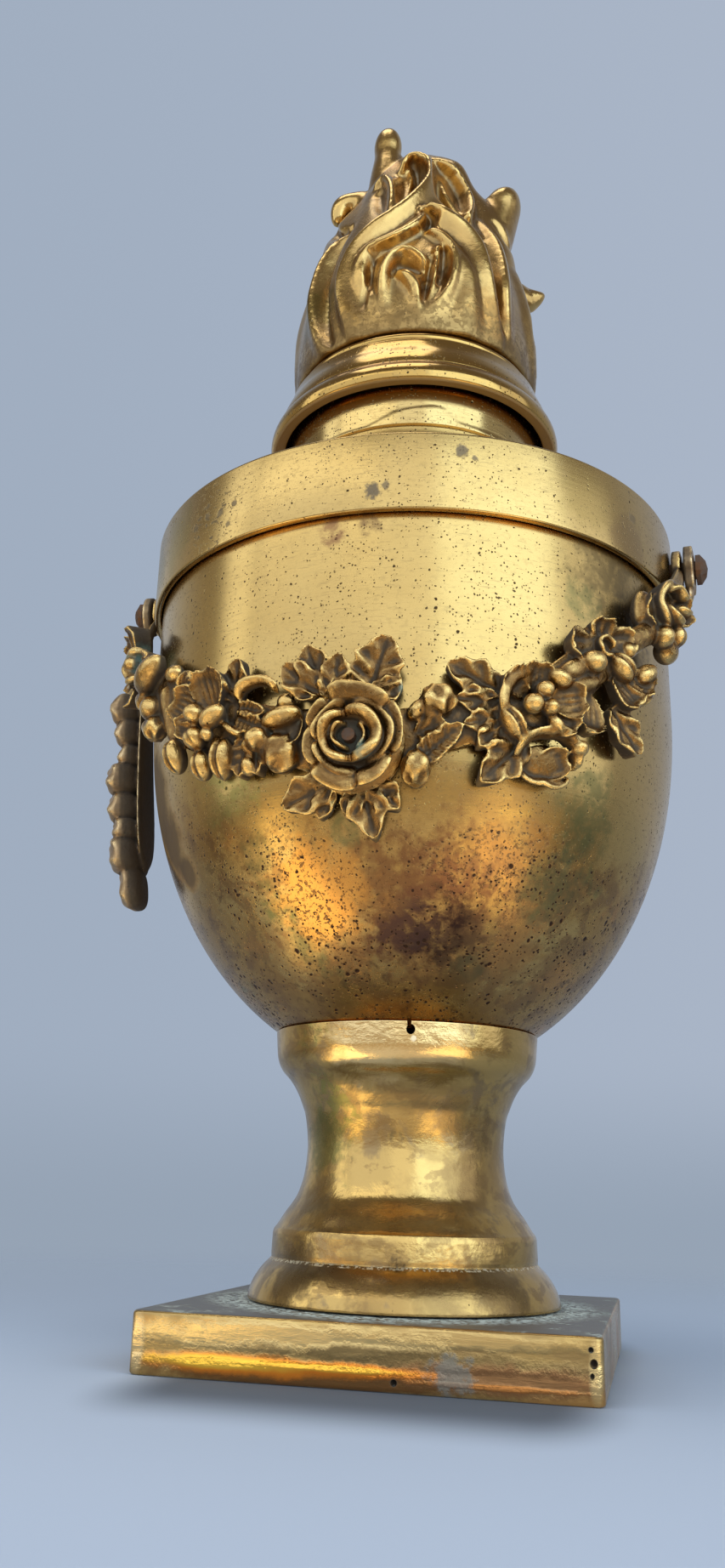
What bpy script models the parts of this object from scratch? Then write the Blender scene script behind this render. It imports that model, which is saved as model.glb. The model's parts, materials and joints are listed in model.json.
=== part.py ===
"""Brass cassolette: a covered urn on a square plinth, with a flower swag and a flame finial.

The urn is a stack of turned and cast shells drawn together by one tie rod. Its cover and
band are held by the two side screws that also carry the swag. The flame, its moulding and
its spigot are one lift-off lid, clamped together by a stud.

Metres, +Z up. The origin is the middle of the object's footprint on the surface it stands
on. The turned axis stands a little behind it and to its right, because the swag is in front
and only the left drop is whole.
"""
import math

import bmesh
import bpy
import numpy as np
from mathutils import Euler

for old in list(bpy.data.objects):
    bpy.data.objects.remove(old, do_unlink=True)

MM = 0.001
GAP = 0.3 * MM
SEGMENTS = 32

# Plinth: a square cast tray, open underneath
PLINTH_SIDE = 80.0 * MM
PLINTH_HEIGHT = 10.3 * MM
PLINTH_WALL = 3.0 * MM
PLINTH_TOP = 2.5 * MM
PLINTH_EDGE = 0.8 * MM

# Foot: a turned shell with a skirt, a ledge, a waist and a cup under the bowl
FOOT_HEIGHT = 51.0 * MM
FOOT_BASE_R = 30.4 * MM
FOOT_LEDGE_R = 26.0 * MM
FOOT_WAIST_R = 19.7 * MM
FOOT_RIM_R = 26.9 * MM
FOOT_SKIRT = 7.8 * MM
FOOT_LEDGE = 4.8 * MM
FOOT_WAIST = 28.6 * MM
FOOT_CUP = 6.4 * MM
FOOT_WALL = 1.8 * MM

# Bowl: a spun shell, egg-shaped below and straight above
BOWL_R = 56.8 * MM
BOWL_DEPTH = 75.2 * MM
BOWL_STRAIGHT = 37.7 * MM
BOWL_WALL = 1.5 * MM
BOWL_POWER = 2.1

# Cover: a band over the bowl's rim, a hollow shoulder and the neck
BAND_HEIGHT = 16.5 * MM
BAND_WALL = 1.54 * MM
SHOULDER_WALL = 1.5 * MM
SHOULDER_FLAT = 2.3 * MM
SHOULDER_RISE = 21.0 * MM
NECK_R = 29.9 * MM
NECK_WALL = 1.5 * MM
NECK_HEIGHT = 17.0 * MM
NECK_TONGUE = 5.0 * MM

# Lid: a hollow moulding that stands over the neck, with a spigot in its bore
LID_DROP = 8.8 * MM
LID_ROOM = 2.4 * MM
LID_WALL = 1.7 * MM
LID_WEB = 5.0 * MM
LID_TOP = 0.3 * MM
SPIGOT_DEPTH = 8.0 * MM
SPIGOT_WALL = 1.2 * MM
SPIGOT_PLAY = 0.4 * MM
BEAD_HEIGHT = 2.4 * MM
BEAD_STEP = 1.9 * MM

# Flame: a cast finial on the bead
FLAME_R = 30.0 * MM
FLAME_HEIGHT = 81.0 * MM

# Tie rod, lid stud and side screws
ROD_R = 3.0 * MM
ROD_INSET = 1.6 * MM
ROD_END = 2.0 * MM
STUD_R = 2.5 * MM
STUD_BITE = 12.0 * MM
WASHER = 1.0 * MM
NUT_HEIGHT = 3.2 * MM
SCREW_R = 2.0 * MM
SCREW_HEAD_R = 3.3 * MM
SCREW_HEAD = 2.4 * MM
SCREW_AZIMUTH = 84.0

# Swag: cast flowers and leaves in relief, bent round the bowl, and its side drops
SWAG_EYE = 2.2 * MM
SWAG_EYE_R = 4.6 * MM
SWAG_CLEAR = 1.0 * MM
SWAG_SINK = 54.0 * MM
ROSE_R = 10.6 * MM
ROSE_RELIEF = 9.6 * MM
RIVET_R = 1.2 * MM
DROP_LENGTH = 72.0 * MM
DROP_STUB = 7.0 * MM
DROP_BACK = 1.8 * MM
DROP_LEAN = 4.4 * MM

# Fineness of the cast pieces: the grain they are melted at and the triangles they keep
FLAME_VOXEL = 1.2 * MM
SWAG_VOXEL = 0.7 * MM
FLAME_TRIANGLES = 2600
SWAG_TRIANGLES = 3300
ROSE_TRIANGLES = 800
DROP_TRIANGLES = 800
STUB_TRIANGLES = 300

# Heights of the stack, each on top of the one before
FOOT_Z = PLINTH_HEIGHT + GAP


def bowl_rise(radius, reach=BOWL_R, depth=BOWL_DEPTH):
    """Height of the egg-shaped wall above its lowest point, at a distance from the axis."""
    inside = 1.0 - min(radius / reach, 1.0) ** 2
    return depth * (1.0 - inside ** (1.0 / BOWL_POWER))


def bowl_reach(height):
    """Outer radius of the bowl at a height above its lowest point."""
    left = np.clip(1.0 - np.asarray(height, float) / BOWL_DEPTH, 0.0, 1.0)
    return BOWL_R * np.sqrt(1.0 - left ** BOWL_POWER)


BOWL_Z = FOOT_Z + FOOT_HEIGHT + GAP - bowl_rise(FOOT_RIM_R)
BOWL_TOP_Z = BOWL_Z + BOWL_DEPTH + BOWL_STRAIGHT
SHOULDER_Z = BOWL_TOP_Z + GAP
BAND_TOP_Z = SHOULDER_Z + SHOULDER_WALL
BAND_R = BOWL_R + GAP + BAND_WALL
SCREW_Z = BAND_TOP_Z - BAND_HEIGHT / 2
NECK_Z = SHOULDER_Z + SHOULDER_WALL + SHOULDER_RISE + GAP
LID_Z = NECK_Z + NECK_HEIGHT + GAP
BEAD_Z = LID_WEB + GAP
FLAME_Z = BEAD_Z + BEAD_HEIGHT + GAP
LID_R = NECK_R + LID_ROOM + LID_WALL
SWAG_R = BAND_R + GAP


def metal(name, colour, roughness, metallic=1.0):
    """A plain metal for one kind of piece."""
    made = bpy.data.materials.new(name)
    made.use_nodes = True
    shader = made.node_tree.nodes["Principled BSDF"]
    shader.inputs["Base Color"].default_value = (*colour, 1.0)
    shader.inputs["Roughness"].default_value = roughness
    shader.inputs["Metallic"].default_value = metallic
    return made


SPUN_BRASS = ("spun_brass", (0.62, 0.45, 0.17), 0.32)
FOOT_BRASS = ("foot_brass", (0.56, 0.38, 0.13), 0.24)
PLINTH_BRASS = ("plinth_brass", (0.50, 0.35, 0.14), 0.34)
CAST_BRASS = ("cast_brass", (0.38, 0.24, 0.09), 0.38)
FLAME_BRASS = ("flame_brass", (0.60, 0.42, 0.15), 0.28)
STEEL = ("dull_steel", (0.34, 0.32, 0.29), 0.5)
RUSTY_STEEL = ("rusty_steel", (0.17, 0.08, 0.05), 0.6)
made_metals = {}


def empty(name, parent, location):
    """A plain axis that carries other pieces."""
    axis = bpy.data.objects.new(name, None)
    bpy.context.scene.collection.objects.link(axis)
    axis.parent = parent
    axis.location = location
    return axis


def place(name, mesh, finish, parent, location=(0, 0, 0), rotation=(0, 0, 0)):
    """One named piece with its metal, carried by an axis."""
    piece = bpy.data.objects.new(name, mesh)
    bpy.context.scene.collection.objects.link(piece)
    if finish[0] not in made_metals:
        made_metals[finish[0]] = metal(*finish)
    mesh.materials.append(made_metals[finish[0]])
    mesh.shade_smooth()
    mesh.set_sharp_from_angle(angle=math.radians(35))
    piece.parent = parent
    piece.location = location
    piece.rotation_euler = rotation
    return piece


def turned_mesh(name, outline, segments=SEGMENTS):
    """A closed outline of (radius, height) points spun once round Z."""
    mesh = bpy.data.meshes.new(name)
    bm = bmesh.new()
    ring = [bm.verts.new((radius, 0.0, height)) for radius, height in outline]
    edges = [bm.edges.new((a, b)) for a, b in zip(ring, ring[1:])]
    if outline[0][0] > 0.0:
        edges.append(bm.edges.new((ring[-1], ring[0])))
    bmesh.ops.spin(bm, geom=ring + edges, cent=(0, 0, 0), axis=(0, 0, 1), dvec=(0, 0, 0),
                   angle=2 * math.pi, steps=segments, use_merge=True)
    bmesh.ops.remove_doubles(bm, verts=bm.verts, dist=0.001 * MM)
    bmesh.ops.recalc_face_normals(bm, faces=bm.faces)
    bm.to_mesh(mesh)
    bm.free()
    return mesh


def turned(name, outline, finish, parent, height=0.0, segments=SEGMENTS):
    """A turned piece on the axis of its parent."""
    return place(name, turned_mesh(name, outline, segments), finish, parent, (0, 0, height))


def cut(piece, cutter):
    """Take a hidden cutter away from a piece."""
    cutter.hide_render = True
    cutter.display_type = "WIRE"
    step = piece.modifiers.new("cut_" + cutter.name, "BOOLEAN")
    step.operation = "DIFFERENCE"
    step.solver = "EXACT"
    step.object = cutter


def rod_cutter(name, radius, low, high, parent, location=(0, 0, 0), rotation=(0, 0, 0), sides=20):
    """A cylinder for drilling, from low to high along its own Z."""
    outline = [(0.0, high), (radius, high), (radius, low), (0.0, low)]
    mesh = turned_mesh(name, outline, sides)
    drill = bpy.data.objects.new(name, mesh)
    bpy.context.scene.collection.objects.link(drill)
    drill.parent = parent
    drill.location = location
    drill.rotation_euler = rotation
    return drill


vase = empty("vase_axis", None, (0, 0, 0))
lid = empty("lid_axis", vase, (0, 0, LID_Z))


# Plinth
def box(mesh_name, half_x, half_y, low, high, edge=0.0):
    """A block with its four sides upright, and rounded edges where asked."""
    mesh = bpy.data.meshes.new(mesh_name)
    bm = bmesh.new()
    bmesh.ops.create_cube(bm, size=1.0)
    for vert in bm.verts:
        vert.co.x *= 2 * half_x
        vert.co.y *= 2 * half_y
        vert.co.z = high if vert.co.z > 0 else low
    if edge:
        bmesh.ops.bevel(bm, geom=bm.edges[:], offset=edge, segments=2, profile=0.6, affect="EDGES")
    bm.to_mesh(mesh)
    bm.free()
    return mesh


half = PLINTH_SIDE / 2
plinth = place("plinth", box("plinth", half, half, 0.0, PLINTH_HEIGHT, PLINTH_EDGE), PLINTH_BRASS, vase)
tray = bpy.data.objects.new("tray_hollow", box("tray_hollow", half - PLINTH_WALL, half - PLINTH_WALL,
                                               -PLINTH_HEIGHT, PLINTH_HEIGHT - PLINTH_TOP))
bpy.context.scene.collection.objects.link(tray)
tray.parent = vase
cut(plinth, tray)
cut(plinth, rod_cutter("plinth_bore", ROD_R + GAP, 0.0, 2 * PLINTH_HEIGHT, vase))


# Foot
def foot_outline():
    """Skirt, upright ledge, cove to the waist, bell to the cup, and the same path inside."""
    cup_z = FOOT_HEIGHT - FOOT_CUP
    ledge_z = FOOT_SKIRT + FOOT_LEDGE
    cup_r = FOOT_RIM_R - 0.9 * MM
    points = []
    for t in (0.0, 0.35, 0.65, 0.9):
        points.append((FOOT_BASE_R - (FOOT_BASE_R - FOOT_LEDGE_R - 0.3 * MM) * t * t, FOOT_SKIRT * t))
    points.append((FOOT_LEDGE_R, FOOT_SKIRT))
    points.append((FOOT_LEDGE_R, ledge_z - 0.7 * MM))
    for t in (0.06, 0.22, 0.45, 0.7, 1.0):
        radius = FOOT_WAIST_R + (FOOT_LEDGE_R - FOOT_WAIST_R) * (1 - t) ** 2.2
        points.append((radius, ledge_z + (FOOT_WAIST - ledge_z) * t))
    for t in (0.35, 0.6, 0.8, 0.95):
        radius = FOOT_WAIST_R + (cup_r - FOOT_WAIST_R) * t ** 2.15
        points.append((radius, FOOT_WAIST + (cup_z - FOOT_WAIST) * t))
    points.append((cup_r + 0.5 * MM, cup_z + 1.2 * MM))
    rim_drop = bowl_rise(FOOT_RIM_R) - bowl_rise(FOOT_RIM_R - FOOT_WALL)
    inside = [(r - FOOT_WALL, z) for r, z in points[::2]]
    inside.append((FOOT_RIM_R - FOOT_WALL, FOOT_HEIGHT - rim_drop))
    points.append((FOOT_RIM_R, FOOT_HEIGHT))
    return points + inside[::-1]


foot = turned("foot", foot_outline(), FOOT_BRASS, vase, FOOT_Z)


# Bowl
def bowl_outline():
    """Egg-shaped wall and straight wall outside, the same less the wall inside."""
    bore = ROD_R + GAP
    outer = []
    for angle in np.linspace(90.0, 0.0, 12):
        c, s = math.cos(math.radians(angle)), math.sin(math.radians(angle))
        outer.append((max(BOWL_R * c, bore), BOWL_DEPTH * (1 - s ** (2 / BOWL_POWER))))
    outer.append((BOWL_R, BOWL_DEPTH + BOWL_STRAIGHT))
    inner = []
    reach, depth = BOWL_R - BOWL_WALL, BOWL_DEPTH - BOWL_WALL
    for angle in np.linspace(90.0, 0.0, 10):
        c, s = math.cos(math.radians(angle)), math.sin(math.radians(angle))
        inner.append((max(reach * c, bore), BOWL_WALL + depth * (1 - s ** (2 / BOWL_POWER))))
    inner.append((reach, BOWL_DEPTH + BOWL_STRAIGHT))
    return outer + inner[::-1]


bowl = turned("bowl", bowl_outline(), SPUN_BRASS, vase, BOWL_Z)

# Band over the bowl's rim
band_soft = 0.3 * MM
band_outline = [(BOWL_R + GAP, BAND_HEIGHT), (BAND_R - band_soft, BAND_HEIGHT),
                (BAND_R, BAND_HEIGHT - band_soft), (BAND_R, band_soft),
                (BAND_R - band_soft, 0.0), (BOWL_R + GAP, 0.0)]
band = turned("collar_band", band_outline, SPUN_BRASS, vase, BAND_TOP_Z - BAND_HEIGHT)


# Shoulder
def shoulder_outline():
    """A flat rim, then a hollow quarter-ellipse sweeping in and up to the neck."""
    start = BOWL_R - SHOULDER_FLAT
    outer = [(BOWL_R, 0.0), (BOWL_R, SHOULDER_WALL)]
    inner = []
    top = SHOULDER_WALL + SHOULDER_RISE
    for angle in (0, 18, 36, 54, 72, 90):
        s, c = math.sin(math.radians(angle)), math.cos(math.radians(angle))
        outer.append((start - (start - NECK_R) * s, top - SHOULDER_RISE * c))
        inner.append((start - (start - NECK_R + SHOULDER_WALL) * s, top - (SHOULDER_RISE + SHOULDER_WALL) * c))
    return outer + inner[::-1]


turned("shoulder", shoulder_outline(), SPUN_BRASS, vase, SHOULDER_Z)

# Neck ring: stands on the shoulder, with a tongue down inside it
bore_r = NECK_R - NECK_WALL
tongue_r = NECK_R - SHOULDER_WALL - GAP
neck_outline = [(bore_r, NECK_HEIGHT), (NECK_R, NECK_HEIGHT), (NECK_R, 0.0), (tongue_r, 0.0),
                (tongue_r, -NECK_TONGUE), (tongue_r - NECK_WALL, -NECK_TONGUE),
                (tongue_r - NECK_WALL, NECK_WALL), (bore_r, 2 * NECK_WALL)]
turned("neck_ring", neck_outline, SPUN_BRASS, vase, NECK_Z)


# Tie rod, washers and nuts
def washer(name, bore, rim, finish, parent, height):
    """A flat ring one washer thick."""
    outline = [(bore, WASHER), (rim, WASHER), (rim, 0.0), (bore, 0.0)]
    return turned(name, outline, finish, parent, height, segments=20)


def nut(name, bore, finish, parent, location, rotation=(0, 0, 0)):
    """A six-sided nut that stands up from its location."""
    mesh = bpy.data.meshes.new(name)
    bm = bmesh.new()
    across = 2.0 * bore
    rings = []
    for radius, height in ((across, 0.0), (across, NUT_HEIGHT), (bore, NUT_HEIGHT), (bore, 0.0)):
        ring = []
        for corner in range(6):
            angle = math.radians(60 * corner)
            reach = radius if radius == across else bore / math.cos(math.radians(30))
            ring.append(bm.verts.new((reach * math.cos(angle), reach * math.sin(angle), height)))
        rings.append(ring)
    for low, high in zip(rings, rings[1:] + rings[:1]):
        for corner in range(6):
            after = (corner + 1) % 6
            bm.faces.new((low[corner], low[after], high[after], high[corner]))
    bmesh.ops.recalc_face_normals(bm, faces=bm.faces)
    bm.to_mesh(mesh)
    bm.free()
    return place(name, mesh, finish, parent, location, rotation)


web_z = PLINTH_HEIGHT - PLINTH_TOP
base_washer_z = web_z - GAP - WASHER
base_nut_z = base_washer_z - GAP - NUT_HEIGHT
bowl_washer_z = BOWL_Z + BOWL_WALL + bowl_rise(3 * ROD_R, BOWL_R - BOWL_WALL, BOWL_DEPTH - BOWL_WALL) + GAP
bowl_nut_z = bowl_washer_z + WASHER + GAP
rod_top = bowl_nut_z + NUT_HEIGHT + ROD_END
rod_soft = 0.5 * MM
rod_outline = [(0.0, rod_top), (ROD_R - rod_soft, rod_top), (ROD_R, rod_top - rod_soft),
               (ROD_R, ROD_INSET + rod_soft), (ROD_R - rod_soft, ROD_INSET), (0.0, ROD_INSET)]
turned("tie_rod", rod_outline, STEEL, vase, segments=16)
washer("base_washer", ROD_R + GAP, 3 * ROD_R, STEEL, vase, base_washer_z)
nut("base_nut", ROD_R + GAP, STEEL, vase, (0, 0, base_nut_z))
washer("bowl_washer", ROD_R + GAP, 3 * ROD_R, STEEL, vase, bowl_washer_z)
nut("bowl_nut", ROD_R + GAP, STEEL, vase, (0, 0, bowl_nut_z))


# Lid moulding: web over the neck, a bead-like roll and a soft slope above it
def lid_outline():
    """Slope and roll outside, hollow inside, a flat web across the top with the stud's bore."""
    bore = STUD_R + GAP
    top_r = NECK_R + LID_TOP
    roll = 0.4 * MM
    span = LID_DROP + LID_WEB
    shape = ((0.0, 0.0), (0.04, 0.12), (0.2, 0.22), (0.38, 0.38), (0.5, 0.6), (0.6, 0.86),
             (0.72, 1.03), (0.84, 1.1), (0.94, 1.04), (1.0, 0.95))
    outer = [(top_r - 0.5 * MM + (LID_R - top_r + roll) * out, LID_WEB - span * down) for down, out in shape]
    inside_r = NECK_R + LID_ROOM
    inner = [(inside_r, -LID_DROP), (inside_r, -0.35 * LID_DROP), (NECK_R + 2 * GAP, 0.0)]
    return [(bore, LID_WEB)] + outer + inner + [(bore, 0.0)]


turned("lid_ring", lid_outline(), SPUN_BRASS, lid)

# Bead between the moulding and the flame
bead_r = NECK_R + LID_TOP - BEAD_STEP
bead_outline = [(STUD_R + GAP, BEAD_HEIGHT), (bead_r - 0.5 * MM, BEAD_HEIGHT), (bead_r + 0.2 * MM, 0.75 * BEAD_HEIGHT),
                (bead_r + 0.2 * MM, 0.4 * BEAD_HEIGHT), (bead_r - 0.6 * MM, 0.0), (STUD_R + GAP, 0.0)]
turned("lid_bead", bead_outline, SPUN_BRASS, lid, BEAD_Z)

# Spigot: a shallow cup under the web that finds the neck's bore
spigot_r = bore_r - SPIGOT_PLAY
spigot_outline = [(STUD_R + GAP, 0.0), (spigot_r, 0.0), (spigot_r, -SPIGOT_DEPTH),
                  (spigot_r - SPIGOT_WALL, -SPIGOT_DEPTH), (spigot_r - SPIGOT_WALL, -SPIGOT_WALL),
                  (STUD_R + GAP, -SPIGOT_WALL)]
turned("lid_spigot", spigot_outline, SPUN_BRASS, lid, -GAP)

flame_washer_z = -GAP - SPIGOT_WALL - GAP - WASHER
flame_nut_z = flame_washer_z - GAP - NUT_HEIGHT
stud_top = FLAME_Z + STUD_BITE - GAP
stud_low = flame_nut_z - ROD_END
stud_outline = [(0.0, stud_top), (STUD_R, stud_top), (STUD_R, stud_low), (0.0, stud_low)]
turned("flame_stud", stud_outline, STEEL, lid, segments=16)
washer("flame_washer", STUD_R + GAP, 3 * STUD_R, STEEL, lid, flame_washer_z)
nut("flame_nut", STUD_R + GAP, STEEL, lid, (0, 0, flame_nut_z))


# Cast ornament: forms drawn out along a spine, melted together
def spread(rows, count):
    """Rows of numbers resampled on a smooth curve through them (Catmull-Rom)."""
    rows = np.asarray(rows, float)
    ends = np.vstack((2 * rows[0] - rows[1], rows, 2 * rows[-1] - rows[-2]))
    at = np.linspace(0.0, len(rows) - 1.000001, count)
    i = at.astype(int)
    t = (at - i)[:, None]
    a, b, c, d = ends[i], ends[i + 1], ends[i + 2], ends[i + 3]
    return 0.5 * (2 * b + (c - a) * t + (2 * a - 5 * b + 4 * c - d) * t ** 2 + (3 * b - a - 3 * c + d) * t ** 3)


def drawn(spine, outward, wide, deep, cup, sides):
    """A closed skin: an ellipse, bent by cup, carried along the spine and drawn to a point."""
    ahead = np.gradient(spine, axis=0)
    ahead /= np.linalg.norm(ahead, axis=1)[:, None] + 1e-12
    out = outward - ahead * (outward * ahead).sum(1)[:, None]
    out /= np.linalg.norm(out, axis=1)[:, None] + 1e-12
    side = np.cross(ahead, out)
    turn = np.linspace(0.0, 2 * math.pi, sides, endpoint=False)
    across = np.cos(turn)[None, :] * wide[:, None]
    up = np.sin(turn)[None, :] * deep[:, None] + cup * np.cos(turn)[None, :] ** 2 * wide[:, None]
    skin = spine[:, None] + side[:, None] * across[..., None] + out[:, None] * up[..., None]
    rings = len(spine)
    verts = np.vstack((spine[:1], skin.reshape(-1, 3), spine[-1:]))
    faces = []
    for k in range(sides):
        after = (k + 1) % sides
        faces.append((0, 1 + after, 1 + k))
        faces.append((len(verts) - 1, 1 + (rings - 1) * sides + k, 1 + (rings - 1) * sides + after))
        for ring in range(rings - 1):
            base = 1 + ring * sides
            faces.append((base + k, base + after, base + sides + after, base + sides + k))
    return verts, faces


def ends_closed(count):
    """A share that is full along a form and falls to a rounded tip at both ends."""
    t = np.linspace(-1.0, 1.0, count)
    return np.sqrt(np.clip(1.0 - np.abs(t) ** 6, 0.0, 1.0)) * 0.97 + 0.03


def melted(name, forms, voxel, triangles):
    """Overlapping closed forms joined to one cast skin of about so many triangles."""
    verts = np.vstack([f[0] for f in forms])
    faces, start = [], 0
    for points, polygons in forms:
        faces += [tuple(start + v for v in polygon) for polygon in polygons]
        start += len(points)
    mesh = bpy.data.meshes.new(name)
    mesh.from_pydata(verts.tolist(), [], faces)
    bm = bmesh.new()
    bm.from_mesh(mesh)
    bmesh.ops.recalc_face_normals(bm, faces=bm.faces)
    bm.to_mesh(mesh)
    bm.free()
    mould = bpy.data.objects.new(name + "_mould", mesh)
    bpy.context.scene.collection.objects.link(mould)
    melt = mould.modifiers.new("melt", "REMESH")
    melt.mode = "VOXEL"
    melt.voxel_size = voxel
    ease = mould.modifiers.new("ease", "SMOOTH")
    ease.iterations = 1
    thin = mould.modifiers.new("thin", "DECIMATE")
    whole = mould.evaluated_get(bpy.context.evaluated_depsgraph_get()).data
    whole.calc_loop_triangles()
    thin.ratio = min(1.0, triangles / max(1, len(whole.loop_triangles)))
    state = bpy.context.evaluated_depsgraph_get()
    cast = bpy.data.meshes.new_from_object(mould.evaluated_get(state))
    bpy.data.objects.remove(mould, do_unlink=True)
    keep_outer_skin(cast)
    return cast


def keep_outer_skin(mesh):
    """Leave only the largest closed skin of a cast form."""
    bm = bmesh.new()
    bm.from_mesh(mesh)
    bmesh.ops.triangulate(bm, faces=bm.faces)
    left, skins = set(bm.faces), []
    while left:
        grown, edge = set(), [left.pop()]
        while edge:
            face = edge.pop()
            grown.add(face)
            for loop_edge in face.edges:
                for other in loop_edge.link_faces:
                    if other in left:
                        left.remove(other)
                        edge.append(other)
        skins.append(grown)
    largest = max(skins, key=lambda skin: sum(f.calc_area() for f in skin))
    spare = [f for skin in skins if skin is not largest for f in skin]
    bmesh.ops.delete(bm, geom=spare, context="FACES")
    bmesh.ops.recalc_face_normals(bm, faces=bm.faces)
    bm.to_mesh(mesh)
    bm.free()


# Flame: a swelling core and tongues of fire laid on it. Each row is a point of a tongue:
# degrees round from the front, millimetres from the axis, millimetres up, half width, half depth
FLAME_TONGUES = {
    "long_s": ((-27, 26, 1, 6, 4), (-28, 27.2, 12, 6, 3.2), (-24, 27, 21, 5.4, 3), (-15, 26.4, 28, 4.6, 3),
               (-4, 24.6, 33, 4.4, 3), (6, 22, 38.5, 4.4, 3), (14, 19.6, 44, 4.2, 3), (23, 15.2, 53, 4, 3),
               (25, 11, 61.5, 3.4, 2.8), (12, 9, 67, 2.8, 2.4), (-8, 12, 64.5, 1.8, 1.6)),
    "front_right": ((32, 25, 0, 9, 5), (32, 27, 10, 9.5, 3.6), (37, 27.2, 19, 8.4, 3.2), (40, 26.2, 27, 6.4, 3),
                    (36, 25.2, 33.5, 5, 2.6), (26, 25.4, 37.5, 3.6, 2.2), (15, 26.6, 38, 2, 1.6)),
    "centre": ((1, 25, 0, 9, 5), (0, 27.2, 8, 7.5, 3.4), (-4, 28, 15, 4.6, 2.6), (-1, 28.6, 21, 3.2, 2.2),
               (7, 28.8, 22.8, 2.6, 1.9), (15, 29, 20, 1.6, 1.4)),
    "centre_leaf": ((9, 26, 1, 3.8, 3), (7, 28.2, 8, 3.6, 2.6), (4, 28.6, 16, 2.4, 1.9)),
    "dark_tip": ((20, 26, 3, 3.2, 3), (24, 27.8, 12, 2.8, 2.4), (26, 28.4, 19, 2.2, 2), (22, 29.2, 23.5, 1.4, 1.4)),
    "left_leaf": ((-42, 25.5, 0, 6, 4), (-54, 27, 9, 6.6, 3.4), (-62, 27.4, 19, 6.2, 3), (-60, 27, 29, 5, 2.8),
                  (-54, 26.2, 39.5, 2.8, 2.2)),
    "left_hook": ((-50, 19.5, 27, 4.4, 4), (-51, 19.6, 36, 3.2, 3), (-51, 21, 43.5, 3, 2.6), (-46, 22, 49, 3, 2.4),
                  (-36, 20.6, 50.5, 2.6, 2.2), (-28, 19.6, 47.5, 1.8, 1.8)),
    "tallest": ((-36, 15, 34, 6, 5), (-42, 13.6, 48, 5.4, 4.4), (-46, 13, 60, 4.6, 3.8), (-51, 12.8, 68, 4, 3.4),
                (-56, 12.4, 75, 3.6, 3), (-58, 12, 81, 3, 2.6)),
    "tall_curl": ((-30, 10, 64, 3, 3), (-20, 12, 70, 2.8, 2.4), (-12, 12, 73.5, 2.2, 1.8), (2, 10, 73, 1.6, 1.4)),
    "top_ridge": ((46, 24, 30, 4.5, 3.4), (38, 23, 38, 4, 3), (33, 20, 47, 3.8, 3), (34, 15, 56, 3.6, 3),
                  (34, 9.6, 64, 3.2, 2.8), (10, 5, 69, 2.2, 2)),
    "second_curl": ((64, 25, 26, 5, 3.6), (63, 23, 37, 4.6, 3.4), (60, 20.6, 46, 4, 3.2), (62, 17.4, 54, 3.8, 3),
                    (64, 14, 62, 3.2, 2.8), (60, 9.6, 69, 2.4, 2.2), (40, 6, 72, 1.8, 1.8)),
    "right_knob": ((84, 20.6, 28, 4.6, 4), (81, 22.4, 37, 3.8, 3.6), (78, 25, 44.5, 3.8, 3.8), (73, 27, 49.5, 4.4, 4.4),
                   (70, 27.4, 52, 3.6, 3.6)),
    "right_spike": ((70, 25, 8, 6, 4), (75, 26.8, 17, 5, 3.6), (82, 29.4, 23.8, 3.4, 2.8), (88, 32.4, 24.6, 1.6, 1.6)),
    "right_side": ((88, 25.4, 0, 8, 4.4), (94, 26.4, 12, 7, 3.6), (100, 25, 24, 5.4, 3.2), (100, 22, 36, 4, 3),
                   (92, 18, 47, 3, 2.6)),
    "back_right": ((122, 25, 0, 8, 4.8), (124, 26.8, 12, 7, 3.8), (130, 26.6, 24, 5.4, 3.2), (138, 24.6, 34, 3.8, 2.6),
                   (148, 23.5, 40, 2, 1.8)),
    "back_s": ((158, 25.5, 1, 7, 4.6), (156, 26.8, 13, 6, 3.6), (164, 25.8, 25, 5, 3.2), (176, 22.6, 36, 4.4, 3),
               (184, 17, 48, 4, 3), (180, 12, 60, 3, 2.6), (164, 9, 67, 2, 1.8)),
    "back_low": ((192, 25.5, 0, 8, 4.6), (196, 27, 10, 7, 3.6), (200, 27.6, 19, 4.6, 2.8), (194, 27.8, 25, 2.2, 2)),
    "back_left": ((228, 25, 0, 8, 4.8), (226, 26.8, 12, 7, 3.8), (218, 26.2, 24, 5.6, 3.2), (208, 23, 36, 4.4, 3),
                  (202, 18, 46, 3.2, 2.8), (206, 16.5, 53, 2, 1.8)),
    "left_side": ((262, 25.4, 0, 8.5, 4.6), (264, 27.2, 11, 8, 3.6), (260, 27, 23, 6.4, 3.2), (250, 24, 34, 4.4, 3),
                  (240, 20, 44, 3, 2.6), (246, 20.5, 50, 1.8, 1.8)),
    "left_back_tip": ((284, 20.5, 26, 4.6, 4), (276, 19, 38, 4, 3.4), (262, 15, 50, 3.6, 3), (252, 10, 62, 2.8, 2.4),
                      (262, 8, 69, 1.8, 1.6)),
    "back_tip": ((130, 15, 40, 5, 4), (116, 14, 52, 4.4, 3.6), (108, 11.6, 64, 3.4, 3), (112, 9.4, 74, 2, 1.8)),
}
FLAME_DRAWN_R = 30
# The core: share of the flame's height against share of its radius
FLAME_CORE = ((0.0, 0.0), (0.0, 0.95), (0.03, 0.985), (0.09, 0.985), (0.25, 0.96), (0.36, 0.85), (0.48, 0.7),
              (0.6, 0.55), (0.7, 0.42), (0.8, 0.3), (0.86, 0.16), (0.875, 0.0))


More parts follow.
